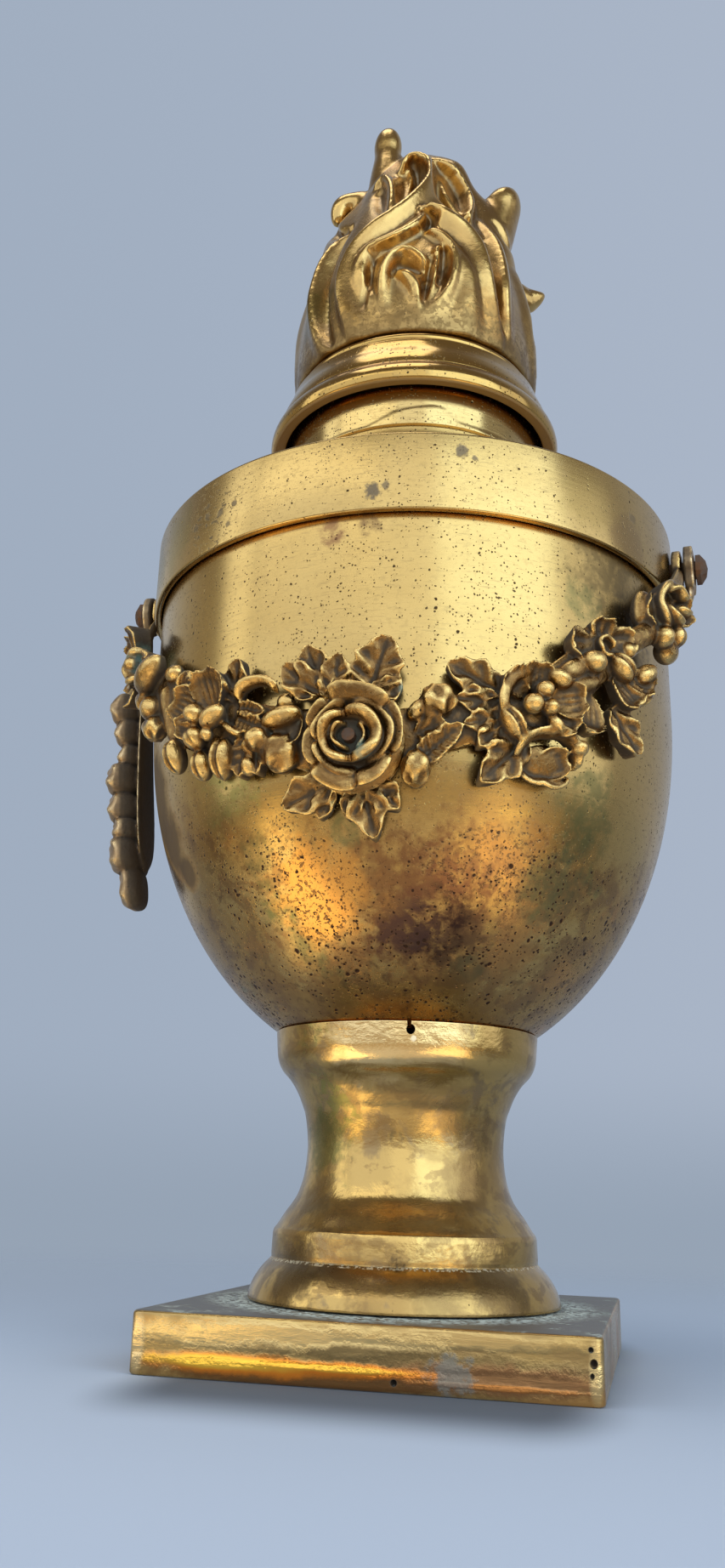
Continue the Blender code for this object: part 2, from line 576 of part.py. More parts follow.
def flame_forms(sides=10, rings=16):
    """The core of revolution and every tongue, in the flame's own frame."""
    crest = max(row[2] for rows in FLAME_TONGUES.values() for row in rows)
    across, along = FLAME_R / FLAME_DRAWN_R, FLAME_HEIGHT / crest
    core = turned_mesh("flame_core", [(r * FLAME_R, h * FLAME_HEIGHT) for h, r in FLAME_CORE], 32)
    points = np.empty(len(core.vertices) * 3)
    core.vertices.foreach_get("co", points)
    forms = [(points.reshape(-1, 3), [tuple(p.vertices) for p in core.polygons])]
    bpy.data.meshes.remove(core)
    for rows in FLAME_TONGUES.values():
        path = spread(rows, rings)
        angle = np.radians(path[:, 0])
        flat = np.stack((np.sin(angle), -np.cos(angle), 0 * angle), 1)
        spine = flat * path[:, 1:2] * across
        spine[:, 2] = path[:, 2] * along
        tips = ends_closed(rings)
        forms.append(drawn(spine, flat + (0, 0, 0.25), path[:, 3] * tips * across, path[:, 4] * tips * across,
                           0.0, sides))
    return forms


flame = place("flame", melted("flame", flame_forms(), FLAME_VOXEL, FLAME_TRIANGLES), FLAME_BRASS, lid, (0, 0, FLAME_Z))
cut(flame, rod_cutter("flame_bore", STUD_R + GAP, -STUD_BITE, STUD_BITE, lid, (0, 0, FLAME_Z)))


# Swag. Its forms are drawn flat: degrees round from the front, millimetres below the side
# screws (upwards positive) and millimetres of relief, then bent round the bowl
DRAWN_AZIMUTH = 84.0
ROSE_AT = (1.2, -54.0)
SWAG_UNIT = -SWAG_SINK / ROSE_AT[1]
FACING = np.array((0.0, 0.0, 1.0))


def swag_back(height):
    """Radius of the swag's back: the band's at the screws, near the bowl's wall below it."""
    high = BAND_TOP_Z - BAND_HEIGHT - 2 * MM
    share = np.clip((height - high + SWAG_SINK / 2) / (SWAG_SINK / 2), 0.0, 1.0)
    share = share * share * (3 - 2 * share)
    near = bowl_reach(height - BOWL_Z) + SWAG_CLEAR
    return near + (SWAG_R - near) * share


def bent(forms, unit, lean=None):
    """Flat forms in units of so many metres, bent round the bowl, or hung down from the band where they lean."""
    made = []
    for points, faces in forms:
        angle = np.radians(points[:, 0] * SCREW_AZIMUTH / DRAWN_AZIMUTH)
        height = SCREW_Z + points[:, 1] * unit
        if lean is None:
            back = swag_back(height)
        else:
            back = SWAG_R - lean * ((SCREW_Z - height) / DROP_LENGTH) ** 2
        reach = back + np.maximum(points[:, 2], 0.0) * unit
        made.append((np.stack((np.sin(angle) * reach, -np.cos(angle) * reach, height), 1), faces))
    return made


def blade(x, y, tip_x, tip_y, width, low, high, deep=0.9, cup=0.12, fullness=0.9, blunt=0.85):
    """A leaf from a root to a tip, rising from low to high. Petals are fuller and blunter."""
    t = np.linspace(0.0, 1.0, 9)
    spine = np.stack((x + (tip_x - x) * t, y + (tip_y - y) * t, low + (high - low) * t), 1)
    swell = np.sin(math.pi * (0.08 + 0.92 * t) ** fullness).clip(0.0) ** blunt
    wide = width / 2 * swell.clip(0.06)
    return drawn(spine, FACING, wide, np.minimum(wide, deep), cup, 8)


def petal(x, y, tip_x, tip_y, width, low=2.0, high=4.4, cup=0.2):
    """A round-ended leaf, widest towards its tip and cupped."""
    return blade(x, y, tip_x, tip_y, width, low, high, 1.0, cup, 1.45, 0.5)


def bud(x, y, across, along, rise, height):
    """A ball or seed standing up from the ground of the swag."""
    t = np.linspace(-1.0, 1.0, 7)
    swell = np.sqrt(1 - t * t).clip(0.05)
    spine = np.stack((x + 0 * t, y + along * t, rise + 0 * t), 1)
    return drawn(spine, FACING, across * swell, height * swell, 0.0, 8)


def ring_of(x, y, radius, rise, thick, deep, start=0.0, turn=330.0):
    """A rolled petal edge: a rod bent nearly into a ring."""
    angle = np.radians(start + np.linspace(0.0, turn, 15))
    spine = np.stack((x + radius * np.cos(angle), y + radius * np.sin(angle), rise + 0 * angle), 1)
    tips = ends_closed(len(angle))
    return drawn(spine, FACING, thick * tips, deep * tips, 0.0, 8)


def flower(x, y, radius, petals, low, high, phase=0.0, inner=0.25, cup=0.2):
    """Petals laid round a centre, each rising outwards and cupped."""
    width = 2.3 * radius * math.sin(math.pi / petals)
    made = []
    for k in range(petals):
        way = math.radians(phase + 360.0 * k / petals)
        s, c = math.sin(way), math.cos(way)
        made.append(petal(x + s * radius * inner, y + c * radius * inner, x + s * radius, y + c * radius,
                          width, low, high, cup))
    return made


# The stem: a row per point of degrees, millimetres up, relief, half width, half depth
SWAG_STEM = ((-84, 0, 1.1, 2.4, 1.1), (-79, -6, 1.6, 2, 1.2), (-72, -15, 2, 2.2, 1.4), (-62, -24, 2, 3.4, 1.4),
             (-48, -34, 1.8, 5, 1.3), (-32, -45, 1.5, 6, 1.2), (-16, -51, 1.3, 5.4, 1.1), (0, -54, 1.2, 6, 1.1),
             (16, -51, 1.3, 5.4, 1.1), (30, -47.5, 1.5, 6, 1.2), (40, -40, 1.8, 4, 1.3), (50, -34, 2, 4, 1.4),
             (62, -21, 2, 3.4, 1.4), (70, -12, 2, 2, 1.4), (77, -4, 1.6, 2, 1.2), (84, 0, 1.1, 2.4, 1.1))
# Leaves: root and tip in degrees and millimetres up, width, relief at the root and the tip
SWAG_LEAVES = (
    (-4, -46, -7.6, -35.8, 7, 1.4, 3.0), (-3, -46, -1.8, -36.6, 5.6, 1.4, 3.0), (-6, -45, -11.6, -39.4, 5.4, 1.4, 2.8),
    (3.5, -45, 7.4, -35.0, 8, 1.4, 3.2), (5, -45, 11.0, -43.6, 5.2, 1.4, 3.0), (-4.5, -60, -13.0, -64.2, 7, 1.4, 2.8),
    (-3.5, -60, -6.4, -67.2, 6.2, 1.4, 2.8), (4.5, -61, 8.4, -69.2, 6.4, 1.4, 2.8), (3.5, -61, 0.6, -66.8, 5.6, 1.4, 2.6),
    (5.5, -60, 11.0, -64.6, 5.4, 1.4, 2.6), (12.5, -57, 20.2, -51.0, 6.4, 1.8, 3.6), (12, -51.6, 17, -50.2, 3.8, 1.8, 3.4),
    (26.3, -47.2, 17.2, -39.8, 7.2, 1.4, 2.8), (25.6, -46, 23.4, -38.8, 5.6, 1.4, 2.8), (25.2, -48, 18.8, -45.8, 4.6, 1.4, 2.6),
    (23, -49.3, 19, -48.6, 3.6, 1.4, 2.4), (23.6, -51, 19, -53.6, 4, 1.4, 2.4), (25.6, -50.6, 23.2, -55, 4, 1.4, 2.6),
    (27.8, -52, 23.4, -60.8, 7, 1.4, 2.8), (29, -52.4, 28.6, -59.6, 5.2, 1.4, 2.8), (45, -41, 45.8, -49.6, 6.2, 1.4, 2.8),
    (44.6, -42, 41.4, -46, 4.6, 1.4, 2.6), (52, -42, 57.2, -50.6, 6.6, 1.4, 2.8), (-42.8, -33.4, -36.2, -32.2, 5, 1.8, 3.0),
    (-38, -37, -30.8, -37.4, 4.8, 1.8, 3.0), (-22.8, -42.5, -22.2, -35.2, 5.6, 1.4, 3.0), (-23.6, -41.5, -26.8, -37.4, 4.4, 1.4, 2.8),
    (-22, -44.6, -13.4, -40.2, 5.8, 1.4, 3.0), (-20.6, -45.6, -14, -44.2, 4.4, 1.4, 2.8), (-16.5, -48.4, -8.6, -47.2, 5, 1.6, 3.2),
    (-19.4, -51.5, -20.4, -58.2, 4.8, 1.4, 2.8), (-18.6, -52.6, -16, -56.8, 4.6, 1.4, 2.8), (-41.6, -36, -39.2, -46, 3.0, 2.0, 3.2),
    (38, -41, 44.4, -35.8, 3.0, 2.2, 3.4), (40.4, -43.2, 46, -38.8, 3.0, 2.0, 3.2))
# Petals: the same numbers
SWAG_PETALS = (
    (-8.6, -47.4, -10.8, -53.8, 5, 2.0, 3.8), (29.2, -46.6, 25.2, -42.6, 5.2, 2.4, 5.0), (30.8, -44, 32.8, -38.4, 6.2, 2.2, 4.4),
    (33.4, -43.6, 37.2, -39.4, 5.4, 2.2, 4.2), (34.6, -45.8, 41, -45, 6.6, 2.2, 4.4), (35, -47.6, 40, -49.6, 5.4, 2.0, 4.0),
    (32.2, -50, 35.8, -59.2, 10.4, 2.2, 4.8), (45.8, -32.8, 40, -32.2, 6.6, 2.2, 4.0), (47, -31.6, 47.2, -26.4, 6.4, 2.2, 4.0),
    (49, -31.4, 55.4, -27.8, 6.4, 2.2, 4.0), (44.6, -34.6, 41.6, -39.4, 5.6, 2.2, 4.0), (47.8, -35, 50.6, -40, 6, 2.2, 4.0),
    (51, -38, 59.4, -34.6, 5.6, 2.0, 4.4), (49.5, -40.2, 58, -39.6, 5.6, 2.0, 4.2), (63, -19, 64.2, -12.6, 8, 2.6, 5.8),
    (62, -20.5, 56.6, -21.8, 8, 2.6, 5.4), (65, -22, 69.8, -26.2, 7, 2.4, 4.4), (65.5, -18.6, 72.4, -15.4, 7.6, 2.6, 5.8),
    (62, -22, 59.6, -28, 6.4, 2.4, 4.4), (-24.6, -44.4, -26.4, -38.4, 6.6, 2.4, 5.0), (-26.8, -44.6, -32, -38.2, 6, 2.4, 4.8),
    (-30.8, -42.8, -37.4, -40, 3.6, 2.4, 4.0), (-31, -44.4, -37.6, -43.2, 3.6, 2.4, 4.0), (-31, -46, -37, -46.2, 3.6, 2.4, 4.0),
    (-53, -31.2, -39.8, -32, 7.6, 2.4, 4.6), (-21, -46.6, -17, -50.4, 5.2, 2.2, 4.2))
# Pods and balls: degrees, millimetres up, half width, half length, relief of the middle, half depth
SWAG_BUDS = (
    (12.1, -59, 2.8, 2.9, 2.8, 2.7), (13.2, -47.2, 2, 2, 3.2, 2), (16.8, -48.6, 1.9, 1.9, 3, 1.9), (27.6, -50.6, 2.2, 3.2, 4.2, 2.2),
    (32.4, -44.9, 1.9, 1.9, 5.2, 1.9), (31, -47.7, 1.8, 1.8, 5, 1.8), (33.6, -48, 1.8, 1.8, 5, 1.8), (41.2, -53, 2.2, 2.2, 3.8, 2.1),
    (45.6, -33.2, 2.4, 2.4, 4.2, 2), (43, -37.2, 2, 2, 4.4, 2), (49.8, -35.8, 2.4, 3, 4, 2), (60.6, -26.6, 2, 2, 4, 2),
    (66.8, -22.8, 2, 2, 4.6, 2), (63.4, -19.6, 3, 3, 3.8, 2.2), (-13.4, -54.6, 3, 4, 3, 2.6), (-27.8, -46.1, 1.9, 1.9, 5, 1.9),
    (-23.4, -47.4, 2.4, 2.1, 5, 1.9), (-25.2, -50.6, 2.1, 2.2, 4.6, 2), (-50.4, -36.6, 2.8, 2.6, 3.2, 2.2), (-49.6, -41.4, 2.4, 2.4, 2.8, 2),
    (-39, -48, 2.4, 3.2, 3, 2), (-36.8, -51.6, 2, 2.8, 3, 1.8), (-31.6, -49.4, 2.2, 2.8, 3.4, 2), (-32.2, -53.6, 2, 3.2, 3, 1.8),
    (-24.2, -54.6, 2.4, 3.6, 3.2, 2.1), (-62, -24, 2.2, 2.2, 4.6, 1.8))
END_FLOWER = (-63.0, -23.0, 8.0)


def stem_form(rows, rings, sides=8):
    """A stem through its rows, closed at both ends."""
    path = spread(rows, rings)
    tips = ends_closed(rings)
    return drawn(path[:, :3], FACING, path[:, 3] * tips, path[:, 4] * tips, 0.0, sides)


def swag_forms():
    """Stem, leaves, flowers and buds, all but the rose and the eyes."""
    forms = [stem_form(SWAG_STEM, 60)]
    forms += [blade(*row) for row in SWAG_LEAVES]
    forms += [petal(*row) for row in SWAG_PETALS]
    forms += flower(*END_FLOWER, 5, 2.6, 5.8, phase=15.0)
    forms += [bud(*row) for row in SWAG_BUDS]
    forms.append(bud(*ROSE_AT, 8.0, 8.0, 1.1, 1.0))
    return forms


def rose_forms():
    """Outer petals, a second row standing higher, and rolled whorls round an open heart."""
    x, y = ROSE_AT
    size = ROSE_R / SWAG_UNIT
    top = ROSE_RELIEF / SWAG_UNIT
    forms = flower(x, y, size, 5, 3.9, 0.66 * top, phase=36.0, inner=0.12)
    forms += flower(x, y, 0.78 * size, 4, 4.6, 0.84 * top, phase=70.0, inner=0.12, cup=0.28)
    forms.append(bud(x, y, 0.56 * size, 0.56 * size, 4.8, 1.8))
    forms.append(ring_of(x, y, 0.40 * size, top - 2.2, 1.1, 2.2, 290.0, 335.0))
    forms.append(ring_of(x, y, 0.19 * size, top - 3.4, 0.8, 1.4, 140.0))
    return forms


def radial(azimuth):
    """The turn that points a piece's own Z outwards at an azimuth."""
    return (math.radians(90), 0.0, math.radians(azimuth))


def out_at(azimuth, reach, height):
    """The point at an azimuth, a distance from the axis and a height."""
    angle = math.radians(azimuth)
    return (math.sin(angle) * reach, -math.cos(angle) * reach, height)


def eye_form(azimuth, layer):
    """A flat ring round a side screw, one eye thick, lying so far off the band."""
    outline = [(SCREW_R, layer + SWAG_EYE), (SWAG_EYE_R, layer + SWAG_EYE), (SWAG_EYE_R, layer), (SCREW_R, layer)]
    ring = turned_mesh("eye", outline, 20)
    points = np.empty(len(ring.vertices) * 3)
    ring.vertices.foreach_get("co", points)
    faces = [tuple(polygon.vertices) for polygon in ring.polygons]
    bpy.data.meshes.remove(ring)
    turn = np.array(Euler(radial(azimuth)).to_matrix())
    return points.reshape(-1, 3) @ turn.T + out_at(azimuth, SWAG_R, SCREW_Z), faces


swag_parts = bent(swag_forms(), SWAG_UNIT) + [eye_form(-SCREW_AZIMUTH, 0.0), eye_form(SCREW_AZIMUTH, 0.0)]
swag = place("flower_swag", melted("flower_swag", swag_parts, SWAG_VOXEL, SWAG_TRIANGLES), CAST_BRASS, vase)
rose_parts = bent(rose_forms(), SWAG_UNIT)
rose = place("swag_rose", melted("swag_rose", rose_parts, SWAG_VOXEL, ROSE_TRIANGLES), CAST_BRASS, vase)

# Rivet through the rose's heart and the swag's ground
rose_azimuth = ROSE_AT[0] * SCREW_AZIMUTH / DRAWN_AZIMUTH
rose_z = SCREW_Z - SWAG_SINK
rose_back = float(swag_back(rose_z))
rivet_top = ROSE_RELIEF - 2.6 * MM
rivet_turn = radial(rose_azimuth)
rivet_place = out_at(rose_azimuth, rose_back, rose_z)
rivet_outline = [(0.0, rivet_top), (RIVET_R, rivet_top - GAP), (RIVET_R, 0.0), (0.0, 0.0)]
place("rose_rivet", turned_mesh("rose_rivet", rivet_outline, 12), RUSTY_STEEL, vase, rivet_place, rivet_turn)
for piece in (swag, rose):
    bore = rod_cutter(piece.name + "_bore", RIVET_R + GAP, -2 * MM, 2 * ROSE_RELIEF, vase, rivet_place, rivet_turn, 12)
    cut(piece, bore)


# Drops: a flat-backed string of buds from the left screw, and the stump of its fellow. Drawn flat
# like the swag. Buds are rows of millimetres below the screw, half width, half length and relief
DROP_BUDS = ((-24.5, 4.4, 4.6, 11.8), (-30.8, 4.6, 3.4, 10.2), (-40, 6.0, 4.6, 12.0), (-47.3, 5.8, 4.0, 12.0),
             (-57.5, 6.8, 5.8, 11.0), (-66.2, 4.8, 5.2, 9.0))
# The strap: millimetres below the screw and half width
DROP_STRAP = ((-3, 1.8), (-14, 1.8), (-22, 4), (-40, 5.6), (-56, 6.8), (-66, 4.6), (-71.5, 1.8))
DROP_UNIT = -DROP_LENGTH / DROP_STRAP[-1][0]
drop_layer = SWAG_EYE + GAP


def strap_form(x, rows, rings):
    """A flat strap a little off the swag's eye, through rows of height and half width."""
    half = DROP_BACK / DROP_UNIT / 2
    middle = drop_layer / DROP_UNIT + half
    return stem_form([(x, y, middle, wide, half) for y, wide in rows], rings)


def drop_forms(x):
    """Strap and buds of a whole drop."""
    forms = [strap_form(x, DROP_STRAP, 26)]
    for y, wide, tall, out in DROP_BUDS:
        deep = (out - (drop_layer + DROP_BACK / 3) / DROP_UNIT) / 2
        forms.append(bud(x, y, wide, tall, out - deep, deep))
    return forms


def stub_forms(x):
    """The short end of a broken strap, and the scallops of its eye."""
    end = -DROP_STUB / DROP_UNIT
    forms = [strap_form(x, ((-3, 1.8), (0.6 * end, 1.8), (end, 1.6)), 8)]
    rim = SWAG_EYE_R / DROP_UNIT - 0.2
    for angle in np.radians(np.arange(30, 390, 60)):
        forms.append(bud(x + rim * math.cos(angle), rim * math.sin(angle), 1.5, 1.5,
                         drop_layer / DROP_UNIT + 1.2, 1.2))
    return forms


drop_parts = bent(drop_forms(-DRAWN_AZIMUTH), DROP_UNIT, DROP_LEAN) + [eye_form(-SCREW_AZIMUTH, drop_layer)]
drop = place("left_drop", melted("left_drop", drop_parts, SWAG_VOXEL, DROP_TRIANGLES), CAST_BRASS, vase)
stub_parts = bent(stub_forms(DRAWN_AZIMUTH), DROP_UNIT, DROP_LEAN) + [eye_form(SCREW_AZIMUTH, drop_layer)]
stub = place("right_drop_stub", melted("right_drop_stub", stub_parts, SWAG_VOXEL, STUB_TRIANGLES), CAST_BRASS, vase)


# Side screws: through drop, swag, band and bowl, with a washer and nut inside
head_low = SWAG_R + drop_layer + SWAG_EYE + GAP
wall_in = BOWL_R - BOWL_WALL
nut_washer = wall_in - GAP - WASHER - 0.5 * MM
nut_low = nut_washer - GAP - NUT_HEIGHT
for side, azimuth in (("left", -SCREW_AZIMUTH), ("right", SCREW_AZIMUTH)):
    turn = radial(azimuth)
    shank = nut_low - ROD_END - head_low
    outline = [(0.0, SCREW_HEAD), (0.55 * SCREW_HEAD_R, 0.85 * SCREW_HEAD), (SCREW_HEAD_R, 0.4 * SCREW_HEAD),
               (SCREW_HEAD_R, 0.0), (SCREW_R, 0.0), (SCREW_R, shank), (0.0, shank)]
    place(side + "_screw", turned_mesh(side + "_screw", outline, 14), RUSTY_STEEL, vase,
          out_at(azimuth, head_low, SCREW_Z), turn)
    ring = [(SCREW_R + GAP, WASHER), (2.2 * SCREW_R, WASHER), (2.2 * SCREW_R, 0.0), (SCREW_R + GAP, 0.0)]
    place(side + "_washer", turned_mesh(side + "_washer", ring, 14), STEEL, vase,
          out_at(azimuth, nut_washer, SCREW_Z), turn)
    nut(side + "_nut", SCREW_R + GAP, STEEL, vase, out_at(azimuth, nut_low, SCREW_Z), turn)
    for piece in (band, bowl, swag, drop if side == "left" else stub):
        drill = rod_cutter(piece.name + "_" + side + "_drill", SCREW_R + GAP, -BOWL_R / 3, BOWL_R / 3, vase,
                           out_at(azimuth, head_low, SCREW_Z), turn, 14)
        cut(piece, drill)


# Stand the urn with the middle of its footprint over the origin
bpy.context.view_layer.update()
state = bpy.context.evaluated_depsgraph_get()
spans = []
for piece in bpy.data.objects:
    if piece.type == "MESH" and not piece.hide_render:
        seen = piece.evaluated_get(state)
        points = np.empty(len(seen.data.vertices) * 3)
        seen.data.vertices.foreach_get("co", points)
        placed = points.reshape(-1, 3) @ np.array(seen.matrix_world.to_3x3()).T + np.array(seen.matrix_world.translation)
        spans += [placed.min(0), placed.max(0)]
middle = (np.min(spans, 0) + np.max(spans, 0)) / 2
vase.location = (-middle[0], -middle[1], 0.0)
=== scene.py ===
"""Dressed look of a covered brass urn with a flower swag and a flame.

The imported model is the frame. Each section makes one piece, or one group of like pieces, in
the order in which the urn is put together, with its sizes, mesh, metal and place.
"""
import json
import math

import bmesh
import bpy
import numpy as np
from mathutils import Matrix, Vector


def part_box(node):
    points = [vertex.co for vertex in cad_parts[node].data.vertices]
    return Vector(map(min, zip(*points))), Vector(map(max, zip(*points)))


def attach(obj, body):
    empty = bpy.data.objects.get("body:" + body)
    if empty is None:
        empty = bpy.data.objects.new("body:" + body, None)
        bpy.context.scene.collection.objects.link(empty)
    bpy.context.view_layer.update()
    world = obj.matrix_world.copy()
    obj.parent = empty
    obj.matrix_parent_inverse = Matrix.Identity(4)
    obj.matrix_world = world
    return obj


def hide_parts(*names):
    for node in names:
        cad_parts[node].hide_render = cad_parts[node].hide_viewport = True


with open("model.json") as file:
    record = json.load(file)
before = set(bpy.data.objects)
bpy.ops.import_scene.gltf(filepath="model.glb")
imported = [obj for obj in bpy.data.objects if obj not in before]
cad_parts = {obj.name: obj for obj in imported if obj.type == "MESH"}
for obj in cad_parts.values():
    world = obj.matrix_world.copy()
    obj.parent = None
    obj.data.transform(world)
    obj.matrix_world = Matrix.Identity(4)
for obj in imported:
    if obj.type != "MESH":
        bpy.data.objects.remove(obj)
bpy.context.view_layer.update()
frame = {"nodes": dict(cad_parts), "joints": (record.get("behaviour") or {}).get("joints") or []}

MM = 0.001

# Room, camera and lamps
# The urn stands on a plain pale table top that fades into a plain pale room, and the camera stands
# low and close. Soft lamps stand in an arc round its front and sides, one hangs above, and dim warm
# ones lie on the table and light it from below.
TURNED_AXIS = np.array((*frame["joints"][1]["pos_m"][:2], 0.0))
TABLE_FRONT, TABLE_BACK = (0.556, 0.590, 0.673), (0.475, 0.525, 0.617)
# The room's tone on the right, then on the left, near the horizon and in front of the urn: the axis
# along which it changes, from where to where, and the colour before that
ROOM_RIGHT = (0.405, 0.468, 0.575)
ROOM_TONES = ((0, -0.55, 0.25, (0.352, 0.420, 0.525)), (2, -0.03, 0.11, (0.305, 0.368, 0.458)),
              (1, 0.0, 0.5, (0.20, 0.185, 0.165)))
CAMERA_AT = TURNED_AXIS + np.array((50.12, -255.18, 31.97)) * MM
CAMERA_RIGHT = (0.96951, 0.24326, 0.02939)
CAMERA_UP = (0.04810, -0.30653, 0.95064)
CAMERA_BACK = (0.24027, -0.92025, -0.30889)
CAMERA_LENS, CAMERA_SHIFT, CAMERA_NEAR = 28.262, 0.0160, 0.01


def add(tree, kind, settings=None, links=None):
    """A shader node. Each link is a socket, or a plain value for the node's own socket."""
    made = tree.nodes.new("ShaderNode" + kind)
    for key, value in (settings or {}).items():
        setattr(made, key, value)
    for key, value in (links or {}).items():
        if isinstance(value, bpy.types.NodeSocket):
            tree.links.new(value, made.inputs[key])
        else:
            made.inputs[key].default_value = value
    return made


def eased_step(tree, value, low, high):
    """0 below low, 1 above high and a smooth step between."""
    ramp = add(tree, "MapRange", {"interpolation_type": "SMOOTHSTEP"}, {0: value, 1: low, 2: high})
    return ramp.outputs[0]


def reckon(tree, operation, *values):
    """A Math node's result."""
    return add(tree, "Math", {"operation": operation}, dict(enumerate(values))).outputs[0]


def vector(tree, operation, *values):
    """A VectorMath node's result: a number for a length, distance or dot product, else a vector."""
    made = add(tree, "VectorMath", {"operation": operation}, dict(enumerate(values)))
    return made.outputs["Value" if operation in ("LENGTH", "DISTANCE", "DOT_PRODUCT") else "Vector"]


def part(tree, whole, axis):
    """One of a vector's three numbers."""
    return add(tree, "SeparateXYZ", None, {0: whole}).outputs[axis]


def blend(tree, share, colour, over):
    """A colour mixed with another by a share."""
    return add(tree, "Mix", {"data_type": "RGBA"}, {0: share, 6: colour, 7: over}).outputs[2]


def own_place(tree):
    """The point's place in the piece's own coordinates, which are the frame's."""
    return add(tree, "TexCoord").outputs["Object"]


camera = bpy.data.objects.new("camera", bpy.data.cameras.new("camera"))
bpy.context.scene.collection.objects.link(camera)
columns = np.eye(4)
columns[:3, 0], columns[:3, 1], columns[:3, 2] = CAMERA_RIGHT, CAMERA_UP, CAMERA_BACK
columns[:3, 3] = CAMERA_AT
camera.matrix_world = Matrix(columns.tolist())
camera.data.lens = CAMERA_LENS
camera.data.shift_x = CAMERA_SHIFT
camera.data.clip_start = CAMERA_NEAR
bpy.context.scene.camera = camera
bpy.context.scene.view_settings.view_transform = "Standard"

room = bpy.data.worlds.new("room")
bpy.context.scene.world = room
room.use_nodes = True
tree = room.node_tree
way = add(tree, "TexCoord").outputs["Generated"]
tone = (*ROOM_RIGHT, 1)
for axis, start, end, colour in ROOM_TONES:
    tone = blend(tree, eased_step(tree, part(tree, way, axis), start, end), (*colour, 1), tone)
tree.links.new(tone, tree.nodes["Background"].inputs[0])

# Standing lamps: name, degrees round from the front (from, to), height (from, to), radiance
LAMP_DISTANCE = 1.0
LAMPS = (
    ("left", (-140, -82), (0.02, 0.70), (0.17, 0.17, 0.135)),
    ("left_strip", (-76, -60), (0.02, 1.00), (1.50, 1.75, 1.90)),
    ("front_left", (-58, -4), (0.02, 0.70), (1.00, 1.20, 1.45)),
    ("upper_left", (-58, -4), (0.71, 1.02), (1.75, 2.00, 2.10)),
    ("front", (-4, 22), (0.02, 1.05), (1.25, 1.50, 1.75)),
    ("front_right", (22, 74), (0.02, 1.05), (1.88, 2.50, 3.10)),
    ("right", (74, 99), (0.02, 0.80), (0.95, 1.15, 1.40)),
)
# Flat lamps: name, place, size across and along, side they face, degrees turned, radiance
FLAT_LAMPS = (
    ("sky", (-0.12, -0.20, 1.2), 0.55, 0.50, -1, 0.0, (2.6, 2.8, 2.9)),
    ("warm_ground", (0.0, -0.38, 0.002), 0.9, 0.62, 1, 0.0, (0.34, 0.26, 0.12)),
    ("left_ground", (-0.185, -0.170, 0.003), 0.075, 0.36, 1, -51.0, (1.7, 1.40, 0.70)),
    ("right_ground", (0.225, -0.185, 0.003), 0.110, 0.36, 1, 55.0, (1.5, 1.25, 0.65)),
)


def hang_lamp(name, spot, back, wide, tall, radiance, turned=0.0):
    """A rectangular lamp of a given radiance that faces away from back and hides from the camera. A
    flat one is turned by degrees from pointing at the viewer."""
    lamp = bpy.data.lights.new(name, "AREA")
    lamp.shape = "RECTANGLE"
    lamp.size, lamp.size_y = wide, tall
    lamp.energy = max(radiance) * math.pi * wide * tall
    lamp.color = [value / max(radiance) for value in radiance]
    held = bpy.data.objects.new(name, lamp)
    bpy.context.scene.collection.objects.link(held)
    across = np.cross((0, 0, 1), back)
    if back[2]:
        across = np.array((math.cos(math.radians(turned)), math.sin(math.radians(turned)), 0.0))
    turn = np.eye(4)
    turn[:3, 0], turn[:3, 1], turn[:3, 2], turn[:3, 3] = across, np.cross(back, across), back, spot
    held.matrix_world = Matrix(turn.tolist())
    held.visible_camera = False


for name, span, rise, radiance in LAMPS:
    middle, half = math.radians(sum(span) / 2), math.radians(span[1] - span[0]) / 2
    back = np.array((math.sin(middle), -math.cos(middle), 0.0))
    spot = back * LAMP_DISTANCE + (0, 0, sum(rise) / 2)
    hang_lamp(name, spot, back, 2 * LAMP_DISTANCE * math.tan(half), rise[1] - rise[0], radiance)
for name, spot, wide, tall, facing, turn, radiance in FLAT_LAMPS:
    hang_lamp(name, spot, np.array((0.0, 0.0, -facing)), wide, tall, radiance, turn)

# The table top fades out between two distances from its middle. The soft shade round the plinth is
# full within a box of half sizes and gone at a distance from it.
TABLE_REACH, TABLE_POINTS, TABLE_FADE, TABLE_BEHIND = 0.6, 96, (0.10, 0.42), (-0.13, 0.04)
TABLE_ROUGH, TABLE_GLOSS = 0.9, 0.1
SHADE_MIDDLE, SHADE_HALF = (2.0, -7.0, 0.0), (28.0, 40.0, 100.0)
SHADE_FADE, SHADE_DEPTH = (0.033, 0.004), 0.72
around = np.linspace(0.0, 2 * math.pi, TABLE_POINTS, endpoint=False)
rim = np.stack((np.sin(around), np.cos(around), 0 * around), 1) * TABLE_REACH
table_mesh = bpy.data.meshes.new("table_top")
table_mesh.from_pydata(rim.tolist(), [], [tuple(range(len(rim)))[::-1]])
table_top = bpy.data.objects.new("table_top", table_mesh)
bpy.context.scene.collection.objects.link(table_top)
table_paint = bpy.data.materials.new("table_paint")
table_paint.use_nodes = True
tree = table_paint.node_tree
paint = tree.nodes["Principled BSDF"]
paint.inputs["Roughness"].default_value = TABLE_ROUGH
paint.inputs["Specular IOR Level"].default_value = TABLE_GLOSS
place = own_place(tree)
behind = eased_step(tree, part(tree, place, 1), *TABLE_BEHIND)
tone = blend(tree, behind, (*TABLE_FRONT, 1), (*TABLE_BACK, 1))
off = vector(tree, "SUBTRACT", place, tuple(TURNED_AXIS + np.array(SHADE_MIDDLE) * MM))
